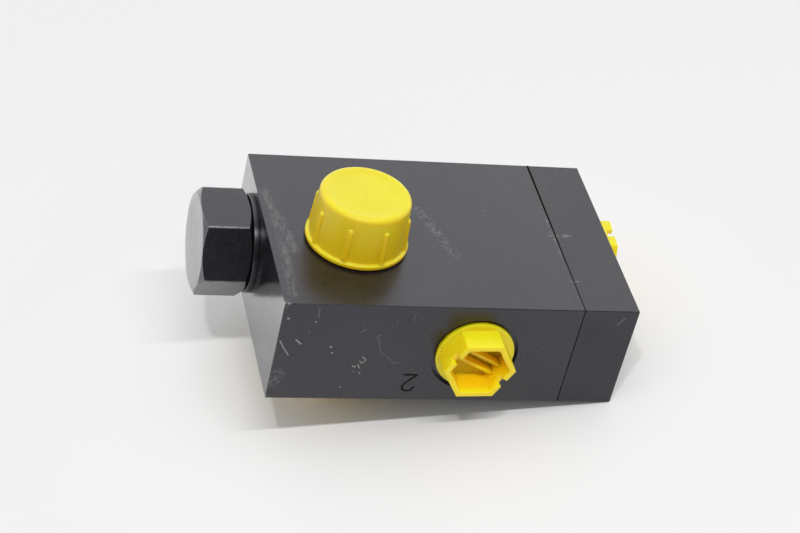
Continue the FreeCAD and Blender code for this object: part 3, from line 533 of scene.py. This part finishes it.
class Marks:
    """Wear and stamping at places given in millimetres on a node of the frame."""

    def __init__(self, node_name):
        self.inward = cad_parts[node_name].matrix_world.inverted()

    def spot(self, x, y, z):
        return self.inward @ (Vector((x, y, z)) * MM)

    def front(self, shader, *rows):
        """Strokes on the front face. Each row gives the reach of the sides, then points (x, z)."""
        return self.strokes(shader, rows, lambda x, z: self.spot(x, FRONT, z))

    def top(self, shader, *rows):
        """Strokes on the top face. Each row gives the reach of the sides, then points (x, y)."""
        return self.strokes(shader, rows, lambda x, y: self.spot(x, y, TOP))

    def strokes(self, shader, rows, place):
        masks = []
        for reach, *points in rows:
            ends = [place(*point) for point in points]
            masks += [shader.stroke(a, b, reach * MM) for a, b in zip(ends, ends[1:])]
        return masks

    def front_dots(self, shader, *dots):
        """Spots on the front face, each as its radius, x and z."""
        return [shader.dot(self.spot(x, FRONT, z), radius * MM) for radius, x, z in dots]


def numeral(x, z, high):
    """Points of a plain figure 2 that stands upside down on the front face."""
    shape = ((0.02, 0.76), (0.12, 0.94), (0.33, 1.0), (0.54, 0.92), (0.6, 0.72), (0.48, 0.5), (0, 0),
             (0.62, 0))
    return [(x - across * high, z - up * high) for across, up in shape]


def block_marks(s):
    """Scratches, scuffed edges and a stamped figure, its grooves painted dark as their shade."""
    at = Marks("valve_block")
    crisp = at.front(
        s,
        (0.34, (-61.8, 5.6), (-60.2, 2.6), (-57.3, -1.7)),
        (0.42, (-55.4, 6.3), (-53.0, 4.2)),
        (0.28, (-26.3, -2.0), (-24.6, -3.7), (-26.0, -5.6), (-27.1, -4.2)),
        (0.32, (-27.5, -6.3), (-26.6, -8.0)),
        (0.40, (-29.5, -7.0), (-28.4, -7.5)))
    crisp += at.front_dots(
        s,
        (0.75, -40.4, 2.95), (0.55, -39.4, -0.2), (0.50, -25.95, -10.7), (0.30, -28.8, -10.2),
        (0.50, -49.0, 15.9), (0.70, -60.4, 17.3), (0.30, -50.7, 10.6), (0.45, -32.7, -18.5),
        (0.30, -4.2, -8.3))
    faint = at.front(
        s,
        (0.40, (-22.5, 8.8), (-20.6, 9.7)),
        (0.30, (-21.6, 8.2), (-19.1, 0.5), (-14.1, -3.4), (-13.0, -4.4)),
        (0.38, (-13.1, -5.4), (-10.3, -4.7)),
        (0.40, (-29.7, 10.9), (-27.7, 12.3)),
        (0.50, (-48.6, 22.7), (-48.2, 18.2)),
        (0.30, (-8.6, 22.0), (-8.9, 17.0)))
    soft = at.front(s, (3.4, (-61.2, -17.4), (-59.6, -11.0)))
    soft += at.top(
        s,
        (3.0, (5.2, -35.7), (14.7, -65.8)),
        (1.0, (62.0, -37.0), (62.2, -65.5)),
        (1.1, (59.4, -50.6), (63.0, -50.4)),
        (0.5, (61.6, -81.2), (63.0, -81.2)))
    edge = at.top(
        s,
        (2.7, (-59.8, -26.0), (-58.2, -44.0), (-58.0, -70.0), (-58.9, -94.0)),
        (2.4, (-56.0, -44.0), (-53.5, -66.0)))
    corners = [s.dot(at.spot(LEFT, FRONT, TOP), 3.2 * MM), s.dot(at.spot(LEFT, FRONT, -TOP), 2.4 * MM)]
    break_up = s.ramp(s.noise(620, 4, 0.65, seed=15.0), 0.46, 0.66)
    streaks = s.ramp(s.noise(780, 4, 0.7, stretch=(1, 0.35, 1), seed=21.0), 0.42, 0.68)
    nibble = s.ramp(s.noise(1600, 2, 0.5, seed=16.0), 0.3, 0.5, 0.5, 1.0)
    worn = s.most([
        s.product(s.most(crisp), nibble, 0.8),
        s.product(s.most(faint), 0.16),
        s.product(s.most(edge), streaks, 0.30),
        s.product(s.most(soft), break_up, 0.30),
        s.product(s.most(corners), break_up, 0.9)])
    return worn, s.most(at.front(s, (0.72, *numeral(-1.4, -11.2, 8.8))))


def cover_marks(s):
    """Scuffs beside the joint and a scratch on the cover."""
    at = Marks("end_plate")
    soft = at.top(s, (1.3, (63.0, -50.4), (69.5, -50.2)), (0.6, (63.1, -81.2), (65.0, -81.2)))
    crisp = at.front(s, (0.3, (79.0, 17.9), (81.2, 21.7)))
    break_up = s.ramp(s.noise(620, 4, 0.65, seed=15.0), 0.42, 0.62)
    worn = s.most([s.product(s.most(crisp), 0.3), s.product(s.most(soft), break_up, 0.45)])
    return worn, None


def plug_marks(s):
    """Bare metal along the hexagon's long edges."""
    _, y, z = s.parts(s.place)
    out = s.off_axis(s.math("SUBTRACT", y, BORE_Y * MM), z)
    corner = s.ramp(out, 23.35 * MM, 23.50 * MM)
    return s.product(corner, s.ramp(s.noise(500, 3, 0.6, seed=18.0), 0.35, 0.6, 0.25, 0.6)), None


def stopper_plastic(side):
    """The stopper's plastic, painted a deeper orange inside the hexagon cup for the light that comes in
    through its walls.
    """
    low, high = box_of(f"{side}_stopper")

    # Mask of the cup's inside, where the light that came through the walls is painted.
    def cup(s):
        x, y, z = s.parts(s.place)
        if side == "outlet":
            across = s.math("SUBTRACT", x, OUTLET_X * MM)
            depth = s.math("SUBTRACT", y, low.y * MM)
        else:
            across = s.math("SUBTRACT", y, BORE_Y * MM)
            depth = s.math("SUBTRACT", high.x * MM, x)
        within = s.ramp(s.off_axis(across, z), 13.0 * MM, 12.8 * MM)
        return s.product(within, s.ramp(depth, 0.4 * MM, 4.5 * MM))
    name = f"{side}_stopper_moulding"
    # Painted light: deeper orange on the sides, lighter yellow where the stopper faces up.
    return yellow_plastic(name, (0.96, 0.675, 0.003), (0.98, 0.80, 0.005), 0.007, cup)


STEEL_BLACK = (0.010, 0.0098, 0.0108)
BLOCK = blackened_steel("block_finish", STEEL_BLACK, 0.30, grain=(0.05, 1, 1), specks=0.06,
                        marks=block_marks, fine_left=0.11)
COVER = blackened_steel("cover_finish", STEEL_BLACK, 0.33, grain=(1, 0.05, 1), specks=0.30,
                        marks=cover_marks, index=1.56)
PLUG = blackened_steel("plug_finish", (0.010, 0.0098, 0.0105), 0.28, grain=(1, 1, 0.08), specks=0.03,
                       marks=plug_marks, index=1.66)
SCREW = blackened_steel("screw_finish", (0.010, 0.010, 0.0105), 0.30)
GROUND = bare_steel("ground_finish", (0.56, 0.555, 0.54), 0.24, grain=(0.06, 1, 1))
SPRING = bare_steel("spring_finish", (0.34, 0.34, 0.35), 0.30)
NIPPLE = bare_steel("nipple_finish", (0.55, 0.54, 0.50), 0.30, grain=(1, 1, 0.06))
# Painted light on the caps: deeper orange on the sides, lighter yellow where they face up.
YELLOW = yellow_plastic("cap_moulding", (0.88, 0.605, 0.004), (0.865, 0.725, 0.010), 0.003)
STOPPER = {side: stopper_plastic(side) for side in ("outlet", "inlet")}
RUBBER = rubber("seal_finish")
BACKUP = rubber("backup_finish", (0.78, 0.78, 0.75), 0.45)
# Near-black, nearly shineless finish that paints the shade in the joint's gap
JOINT_SHADE = rubber("joint_painted_shade", (0.003, 0.003, 0.003), 0.9, shine=0.1)


def dress(piece, material):
    """Gives a piece or a CAD node one material."""
    if not piece.material_slots:
        piece.data.materials.append(material)
    for item in piece.material_slots:
        item.link = "OBJECT"
        item.material = material


def port_place(upright):
    """Where a port piece made about Z, with the block face at height 0, stands."""
    if upright:
        return Matrix.Translation((UPPER_PORT.x, UPPER_PORT.y, TOP))
    return Matrix.Translation((LOWER_PORT.x, LOWER_PORT.y, -TOP)) @ Matrix.Rotation(math.pi, 4, "X")


# Yellow ribbed caps

def cap_mesh(name):
    """Ribbed screw cap about Z, with the block face at height 0."""
    rim, flange_top, crown, wall = 0.8, 2.8, CAP_CROWN, 1.9
    base, flange, bore = 20.15, 21.55, 18.15
    ribs, first, rib_radius, proud, rib_top = 8, 18.5, 1.45, 1.0, 18.3
    blend, root_height, root_width = 0.35, 0.7, 0.35
    lean = (base - CAP_CROWN_RADIUS) / (crown - flange_top)
    shoulder_r = base - (crown - CAP_SHOULDER - flange_top) * lean - CAP_SHOULDER
    dish = ((0, 0.75), (0.35, 0.7), (0.75, 0.4), (1.2, 0.22), (3, 0.24), (6, 0.32), (9, 0.46),
            (11.5, 0.52), (13.2, 0.48), (14.4, 0.36), (15.2, 0.20), (16.0, 0.05))

    def skirt(height):
        """The leaning skirt with its grip ribs, which blend in, and a root above the flange."""
        def ring(angle):
            plain = base - (height - flange_top) * lean
            off = (math.degrees(angle) - first) % (360 / ribs)
            off = min(off, 360 / ribs - off)
            across = math.radians(off) * plain
            over = max(0.0, height - (rib_top - rib_radius))
            inside = rib_radius ** 2 - across ** 2 - over ** 2
            bump = math.sqrt(inside) - (rib_radius - proud) if inside > 0 else -9.0
            soft = math.log(1 + math.exp(max(-40.0, min(40.0, bump * 4 / blend)))) * blend / 4
            root = root_width * max(0.0, 1 - (height - flange_top) / root_height) ** 2
            return plain + max(soft - 0.02, 0.0) + root, height
        return ring

    def wavy(radius, height):
        """A ring of the flange's upper edge, which isn't quite flat."""
        def ring(angle):
            drift = 0.05 * math.sin(3 * angle + 0.7) + 0.03 * math.sin(7 * angle)
            return radius, height - 0.06 + drift
        return ring

    rings = [(radius, crown - below) for radius, below in dish]
    rings += arc(shoulder_r, crown - CAP_SHOULDER, CAP_SHOULDER, 90, 4, 10)
    heights = [crown - 2.5 - i * 0.5 for i in range(7)]
    heights += [rib_top + 0.3 - i * 0.16 for i in range(14)]
    lowest = rib_top - 2.0
    heights += [lowest - i * (lowest - flange_top - 0.8) / 18 for i in range(1, 19)]
    heights += [flange_top + above for above in (0.55, 0.3, 0.12)]
    rings += [skirt(height) for height in heights]
    rings += [(flange - 0.8, flange_top), (flange - 0.55, flange_top - 0.02)]
    edge = arc(flange - 0.62, flange_top - 0.62, 0.62, 80, 0, 5)
    rings += [wavy(radius, height) for radius, height in edge]
    rings += arc(flange - 0.5, rim + 0.5, 0.5, 0, -90, 4)
    rings += [(bore + 0.6, rim), (bore, rim + 0.6)]
    rings += thread_rings(bore, bore - 0.12, NIPPLE_PITCH, rim + 1.4, crown - 6.2)
    rings += [(bore, crown - 3.0), *arc(bore - 1.0, crown - 2.9, 1.0, 0, 90, 4)]
    rings += [(10, crown - wall), (0, crown - wall)]
    return ring_mesh(name, rings, 512)


for side, upright in (("top", True), ("bottom", False)):
    name = f"{side}_cap_moulding"
    cap = finish_mesh(name, cap_mesh(name), f"{side}_cap_body", (f"{side}_port_cap",),
                      port_place(upright))
    dress(cap, YELLOW)


# Yellow screw stoppers

def stopper_mesh(name, hex_turn):
    """Hexagonal cup with driver slot on a threaded hollow shank, the spot face at height 0."""
    shank, wall, flange, pitch = 12.92, 1.7, 16.55, 1.81
    under, flange_top, rim = 0.05, 2.25, 12.55
    width, hex_wall, slot_half, slot_depth = 26.6, 2.35, 1.8, 3.0
    rib_thick, rib_height = 1.4, 4.7
    cup_floor, floor_under, end = rim - 12.0, rim - 13.7, under - 12.0
    hollow = shank - wall
    count = 192
    step = 360 / count
    turn = round(hex_turn / step) * step
    outer = hexagon_radius(width, turn)
    inner = hexagon_radius(width - 2 * hex_wall, turn)

    def disc(angle):
        """The flange, which isn't quite true to the axis."""
        return flange + 0.33 * math.cos(angle) - 0.2 * math.sin(angle)

    head = ring_mesh(name + "_head", [
        (0, cup_floor), at_height(inner, cup_floor), at_height(inner, rim), at_height(outer, rim),
        at_height(outer, flange_top), at_height(disc, flange_top), at_height(disc, under),
        (shank, under), (shank, under - 0.6), (0, under - 0.6)], count)
    spin = Matrix.Rotation(math.radians(hex_turn - 30), 4, "Z")
    slot = box_mesh(name + "_slot", (-20, -slot_half, rim - slot_depth), (20, slot_half, rim + 2), spin)
    head = bevelled(weld(cut(head, slot)), 0.34, 3, 38)
    reach = width / 2 - hex_wall + 0.3
    ribs = []
    for near, far in ((slot_half, slot_half + rib_thick), (-slot_half - rib_thick, -slot_half)):
        low, high = (-reach, near, cup_floor - 0.4), (reach, far, cup_floor + rib_height)
        ribs.append(bevelled(box_mesh(name + "_rib", low, high, spin), 0.25, 2, 40))
    rings = [(shank - 0.4, under - 0.3), (shank - 0.4, under - 0.9)]
    rings += thread_rings(shank + 0.12, shank - 0.75, pitch, end + 1.0, under - 0.9)[::-1]
    rings += [(shank - 1.0, end), (hollow + 0.2, end), (hollow, end + 0.2), (hollow, floor_under + 0.4),
              (hollow - 0.4, floor_under), (0, floor_under)]
    shell = ring_mesh(name + "_shank", rings, count)
    return join_meshes(name, [head, *ribs, shell])


outlet_spot = Matrix.Translation((OUTLET_X, FRONT + OUTLET_SPOT_DEPTH, 0))
inlet_spot = Matrix.Translation((RIGHT - INLET_SPOT_DEPTH, BORE_Y, 0))
outlet_place = outlet_spot @ Matrix.Rotation(QUARTER, 4, "X")
inlet_place = inlet_spot @ Matrix.Rotation(QUARTER, 4, "Y")
for side, hex_turn, place in (("outlet", 1.8, outlet_place), ("inlet", 37.0, inlet_place)):
    name = f"{side}_stopper_moulding"
    stopper = finish_mesh(name, stopper_mesh(name, hex_turn), f"{side}_stopper_body",
                          (f"{side}_stopper",), place, sharp=50)
    dress(stopper, STOPPER[side])


# Hexagon plug with turned chamfers

bore_place = Matrix.Translation((LEFT, BORE_Y, 0)) @ Matrix.Rotation(QUARTER, 4, "Y")


def plug_mesh(name):
    """Hexagon plug about Z, which stands for the bore axis towards the block's inside."""
    face = box_of("bonnet_plug")[0].x - LEFT
    under = -SEAL_THICKNESS
    across_flats, front_circle, back_circle = 41.0, 20.45, 19.4
    neck, thread, thread_end, nose, nose_end = 17.0, 17.9, 20.0, 11.75, 32.2
    pocket, pocket_floor = 8.8, 19.0
    width = hexagon_radius(across_flats, 97.0)
    corner = across_flats / 2 / math.cos(math.radians(30))
    slope = math.tan(math.radians(30))

    def eased(angle):
        return min(width(angle), corner - 0.10)

    def front_edge(angle):
        return eased(angle), face + max(0.0, eased(angle) - front_circle) * slope

    def back_edge(angle):
        return eased(angle), under - max(0.0, eased(angle) - back_circle) * slope

    rings = [(radius, face) for radius in (0, 6, 12, 17, 20.1)]
    rings += [(20.28, face + 0.03), (20.4, face + 0.12), front_edge, back_edge, (back_circle, under)]
    rings += [(neck + 0.2, under), (neck, under + 0.1), (neck, 0.0), (thread, 0.6)]
    rings += [(thread, thread_end - 1.0), (neck, thread_end)]
    rings += [(nose, thread_end), (nose, nose_end), (pocket, nose_end)]
    rings += [(pocket, pocket_floor), (0, pocket_floor)]
    return ring_mesh(name, rings, 720)


plug = finish_mesh("bonnet_plug_turned", plug_mesh("bonnet_plug_turned"), "valve_body", ("bonnet_plug",),
                   bore_place, sharp=12)
dress(plug, PLUG)


# Seal ring under the hexagon

def seal_mesh(name):
    """Flat ring with rounded outer edges, the block's face at height 0."""
    inner, outer, rounding = 18.3, 21.0, 0.2
    section = [(inner, -SEAL_THICKNESS), *arc(outer, rounding - SEAL_THICKNESS, rounding, -90, 0, 4)]
    section += [*arc(outer, -rounding, rounding, 0, 90, 4), (inner, 0.0)]
    return ring_mesh(name, section, 256, True)


ring = finish_mesh("bonnet_seal_turned", seal_mesh("bonnet_seal_turned"), "valve_body",
                   ("bonnet_seal_ring",), bore_place, sharp=40)
dress(ring, PLUG)


# Threaded nipples under the caps

def nipple_mesh(name):
    """Nipple with a cone mouth over a key hexagon, the block face at height 0."""
    shank, shank_end, passage, outer, top = 12.0, -15.0, 8.0, NIPPLE_RADIUS, 22.0
    cone_top, cone_end, cone_floor, key_floor = 12.5, 11.23, 16.0, 8.0
    key = hexagon_radius(19.0, 0.0)
    rings = [(passage, shank_end), (shank - 1.0, shank_end), (shank, shank_end + 1.0), (shank, 0.0)]
    rings += [(outer - 1.0, 0.0), (outer, 1.0)]
    rings += thread_rings(outer, 16.75, NIPPLE_PITCH, 2.6, 20.9)
    rings += [(16.4, top), (cone_top, top), (cone_end, cone_floor)]
    rings += [at_height(key, cone_floor), at_height(key, key_floor), (passage, key_floor)]
    return ring_mesh(name, rings, 180, True)


for side, upright in (("top", True), ("bottom", False)):
    name = f"{side}_nipple_threaded"
    nipple = finish_mesh(name, nipple_mesh(name), "valve_body", (f"{side}_port_nipple",),
                         port_place(upright), sharp=30)
    dress(nipple, NIPPLE)


# Cover screws with chamfered, knurled heads

def screw_mesh(name):
    """Socket head screw about Z, its head's seat at height 0."""
    head, head_top, key_floor, knurls = 6.5, 8.0, 4.0, 40
    shank, length = 4.0, 30.0
    key = hexagon_radius(6.0, 0.0)

    def knurled(height):
        def ring(angle):
            wave = abs(math.sin(angle * knurls / 2))
            return head - 0.16 * (1 - wave), height
        return ring

    rings = [(0, key_floor), at_height(key, key_floor), at_height(key, head_top - 0.3)]
    rings += [lambda angle: (key(angle) + 0.25, head_top)]
    rings += [(head - 0.6, head_top), (6.2, 7.86), (6.34, 7.6)]
    rings += [knurled(7.3), knurled(1.0), (6.3, 0.6), (6.3, 0.0)]
    rings += [(shank, 0.0), (shank, 1.0 - length), (shank - 0.8, -length), (0, -length)]
    return ring_mesh(name, rings, 240)


screw_blank = screw_mesh("cover_screw")
screws = []
for y in SCREW_ROWS_Y:
    for z in SCREW_ROWS_Z:
        single = screw_blank.copy()
        spin = Matrix.Rotation(rng.uniform(0, 2 * math.pi), 4, "Z")
        seat = Matrix.Translation((RIGHT - SCREW_SINK_DEPTH, y, z))
        single.transform(seat @ Matrix.Rotation(QUARTER, 4, "Y") @ spin)
        screws.append(single)
piece = finish_mesh("cover_screws_detailed", join_meshes("cover_screws_detailed", screws), "valve_body",
                    ("cover_screws",), sharp=30)
dress(piece, SCREW)


# Threads in the open tapped holes of the mounting face

def tapped_mesh(name):
    """Thread turns just inside an 8 mm hole that runs down from height 0."""
    hole, crest, pitch, start, end = 3.98, 3.42, 1.25, -0.2, -12.7
    rings = [(hole, start)]
    rings += thread_rings(hole, crest, pitch, end + 0.1, start - 0.1)[::-1]
    rings += [(hole + 0.01, end), (hole + 0.015, end), (hole + 0.015, start)]
    return ring_mesh(name, rings, 72, True)


tapped = []
for x in MOUNTS_X:
    for z in MOUNTS_Z:
        single = tapped_mesh("tapped")
        single.transform(Matrix.Translation((x, 0, z)) @ Matrix.Rotation(-QUARTER, 4, "X"))
        tapped.append(single)
piece = finish_mesh("mounting_threads", join_meshes("mounting_threads", tapped), "valve_body", (),
                    sharp=60)
dress(piece, SCREW)


# Round-wire spring of the poppet; in the valve it shortens as the poppet lifts

def spring_mesh(name, length):
    """Compression spring along X from 0, closed and ground flat at both ends."""
    wire, mean, active, steps, sides = 0.9, 6.9, 8, 32, 12
    closed = 2 * wire * 1.05
    pitch = (length - 2 * closed) / active
    stations = (active + 2) * steps + 1
    vertices = []
    for k in range(stations):
        turn = k / steps
        wound = min(max(turn - 1, 0), active)
        along = closed * min(turn, 1) + pitch * wound + closed * max(turn - 1 - active, 0)
        angle = 2 * math.pi * turn
        for i in range(sides):
            around = 2 * math.pi * i / sides
            out = mean + wire * math.cos(around)
            x = min(max(along + wire * math.sin(around), 0.0), length)
            vertices.append((x, out * math.cos(angle), out * math.sin(angle)))
    return mesh_of(name, vertices, tube_faces(stations, sides))


spring_low, spring_high = box_of("poppet_spring")
spring_length = spring_high.x - spring_low.x
spring = finish_mesh("poppet_spring_wound", spring_mesh("poppet_spring_wound", spring_length),
                     "valve_body", ("poppet_spring",),
                     Matrix.Translation((spring_low.x, BORE_Y, 0)), sharp=60)
dress(spring, SPRING)
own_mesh(spring)


# Painted shade of the joint's gap: a near-black strip in the joint, which opens a little towards the
# back

def joint_mesh(name):
    """Near-black strip that stands in for the gap's shade, U-shaped over the top, down the front and
    under the bottom of the joint.
    """
    edge, proud, deep = 0.25, 0.02, 0.5
    wide, narrow = (-0.08, 0.80), (-0.22, 0.12)
    outer, inner = TOP + proud, TOP - deep
    stations = [((-0.05, outer), (-0.05, inner), wide),
                ((FRONT + edge, outer), (FRONT + 0.6, inner), narrow),
                ((FRONT - proud, TOP - edge), (FRONT + deep, TOP - 0.6), narrow)]
    stations += [((a[0], -a[1]), (b[0], -b[1]), width) for a, b, width in reversed(stations)]
    vertices = []
    for (y, z), (y_in, z_in), (near, far) in stations:
        near, far = JOINT + near, JOINT + far
        vertices += [(near, y, z), (far, y, z), (far, y_in, z_in), (near, y_in, z_in)]
    return mesh_of(name, vertices, tube_faces(len(stations), 4))


piece = finish_mesh("joint_gap_shade", joint_mesh("joint_gap_shade"), "valve_body", sharp=20)
# Painted shade: the strip in the joint is near black.
dress(piece, JOINT_SHADE)

# Nodes of the frame that keep their own shape
for names, material in (
    (("valve_block",), BLOCK), (("end_plate",), COVER), (("seat_backup_ring",), BACKUP),
    (("dowel_pins", "seat_insert", "poppet", "spring_guide"), GROUND),
    (("top_port_seal", "bottom_port_seal", "seat_o_ring", "inlet_o_ring", "cross_bore_o_ring"), RUBBER),
):
    for name in names:
        dress(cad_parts[name], material)


# Floor that the block lies on: the lower cap's crown and the lower right edge touch it

def floor_slope():
    """Angle of the floor against the block's underside."""
    touch_x = LOWER_PORT.x + CAP_CROWN_RADIUS - CAP_SHOULDER
    run, rise = RIGHT - touch_x, CAP_CROWN - CAP_SHOULDER
    return math.atan2(rise, run) + math.asin(CAP_SHOULDER / math.hypot(run, rise))


slope = floor_slope()
reaches = (1.6, 0.8, 0.4, 0.2, 0.1, 0.05, 0)
floor = shown("floor", ring_mesh("floor", [(reach, 0) for reach in reaches], 96))
along = Vector((math.cos(slope), 0, math.sin(slope)))
across = Vector((0, 1, 0))
up = along.cross(across)
middle = Vector((RIGHT, 0, -TOP)) * MM - along * 0.09 + Vector((0, -0.04, 0)) - up * 0.0002
floor.matrix_world = Matrix((
    (along.x, across.x, up.x, middle.x), (along.y, across.y, up.y, middle.y),
    (along.z, across.z, up.z, middle.z), (0, 0, 0, 1)))
floor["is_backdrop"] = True


def paper_floor():
    """White paper, painted a little brighter by the block, which lifts the block's shade on it. Its back
    left shines in reflections.

    It fades into the backdrop far out and can't be seen from below.
    """
    s = Shader("floor_finish", Roughness=0.9, Specular_IOR_Level=0.1)
    paper = s.noise(6, 3, 0.5)
    offset = s.vector("SUBTRACT", s.place, (0.015, -0.01, 0)).outputs[0]
    away = s.vector("LENGTH", s.vector("DIVIDE", offset, (0.085, 0.07, 1)).outputs[0]).outputs["Value"]
    pale = s.mix(paper, (0.893, 0.893, 0.898, 1), (0.907, 0.907, 0.907, 1))
    # Painted light: the paper's colour is lighter near the block, where it lifts the block's shade.
    s.to("Base Color", s.scaled(pale, s.ramp(away, 0.95, 2.3, 1.05, 0.95, smooth=True)))
    apart = s.vector("DOT_PRODUCT", s.place, (-0.6, 0.8, 0)).outputs["Value"]
    glossy = s.add("ShaderNodeLightPath").outputs["Is Glossy Ray"]
    s.to("Emission Color", (1, 1, 1, 1))
    s.to("Emission Strength", s.product(glossy, s.ramp(apart, 0.03, 0.17, 0, 0.78, smooth=True)))
    edge = s.ramp(s.vector("LENGTH", s.place).outputs["Value"], 0.34, 0.62, smooth=True)
    below = s.add("ShaderNodeNewGeometry").outputs["Backfacing"]
    clear = s.add("ShaderNodeBsdfTransparent")
    blend = s.add("ShaderNodeMixShader", {
        0: s.math("MAXIMUM", edge, below), 1: s.surface.outputs[0], 2: clear.outputs[0]})
    s.give(s.tree.nodes["Material Output"].inputs["Surface"], blend.outputs[0])
    return s.material


floor.data.materials.append(paper_floor())


# Lamps: a small key lamp on the left and a long strip, both high in front of the block

LAMPS_Y, LAMPS_Z, AIM_Y = -1.54, 2.62, -0.05


def lamp(name, x, size, power):
    """Rectangular lamp with one side parallel to X that looks down on the block's row."""
    data = bpy.data.lights.new(name, "AREA")
    data.shape = "RECTANGLE"
    data.size, data.size_y = size
    data.energy = power
    item = shown(name, data)
    item.location = (x, LAMPS_Y, LAMPS_Z)
    item.rotation_euler = (math.atan2(AIM_Y - LAMPS_Y, LAMPS_Z), 0, 0)


lamp("key_lamp", -1.15, (0.12, 0.12), 16)
lamp("strip_lamp", -0.31, (1.65, 0.10), 29)


# World: a pale room, darker in front, with its own levels for soft light and for reflections

class Room:
    """World shader: what the camera, soft light and reflections see of the room."""

    def __init__(self, name):
        self.world = bpy.data.worlds.new(name)
        self.world.use_nodes = True
        self.tree = self.world.node_tree
        self.background = self.tree.nodes["Background"]
        self.path = self.add("ShaderNodeLightPath")
        direction = self.add("ShaderNodeTexCoord").outputs["Generated"]
        _, self.y, self.z = self.add("ShaderNodeSeparateXYZ", {0: direction}).outputs

    def add(self, kind, inputs=None, **settings):
        item = self.tree.nodes.new(kind)
        for key, value in settings.items():
            setattr(item, key, value)
        for key, value in (inputs or {}).items():
            if isinstance(value, bpy.types.NodeSocket):
                self.tree.links.new(value, item.inputs[key])
            else:
                item.inputs[key].default_value = value
        return item

    def ramp(self, value, low, high, out_low, out_high):
        return self.add("ShaderNodeMapRange", {
            "Value": value, "From Min": low, "From Max": high, "To Min": out_low, "To Max": out_high},
            interpolation_type="SMOOTHSTEP").outputs[0]

    def blend(self, factor, first, second):
        return self.add("ShaderNodeMix", {"Factor": factor, "A": first, "B": second},
                        data_type="FLOAT").outputs[0]

    def math(self, operation, *values):
        return self.add("ShaderNodeMath", dict(enumerate(values)), operation=operation).outputs[0]


PAPER_WHITE = 0.905

room = Room("studio")
high = room.math("ADD", room.y, room.math("MULTIPLY", room.z, 0.7))
ambient = room.ramp(high, -1.0, 0.0, 0.05, 0.73)
wall = room.ramp(room.y, -0.35, 0.35, 0.18, 1.42)
ground = room.ramp(room.y, -0.5, 0.6, 0.85, 1.9)
mirrored = room.blend(room.ramp(room.z, -0.25, 0.0, 1.0, 0.0), wall, ground)
level = room.blend(room.path.outputs["Is Glossy Ray"], ambient, mirrored)
seen = room.math("MAXIMUM", room.path.outputs["Is Camera Ray"], room.path.outputs["Is Transmission Ray"])
room.tree.links.new(room.blend(seen, level, PAPER_WHITE), room.background.inputs["Strength"])
room.background.inputs["Color"].default_value = (1, 1, 1, 1)
bpy.context.scene.world = room.world

# Camera solved from the corners of the block in the photograph
data = bpy.data.cameras.new("camera")
data.sensor_width = 36
data.lens = 97.194
data.clip_start = 0.05
data.clip_end = 20
camera = shown("camera", data)
right = (0.960127, -0.198897, 0.196458)
down = (0.028794, -0.628641, -0.777163)
ahead = (0.278077, 0.751832, -0.597848)
eye = (-0.255798, -0.736873, 0.551696)
camera.matrix_world = Matrix((
    *((right[i], -down[i], -ahead[i], eye[i]) for i in range(3)), (0, 0, 0, 1)))
bpy.context.scene.camera = camera
bpy.context.scene.view_settings.view_transform = "Standard"

low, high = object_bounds()
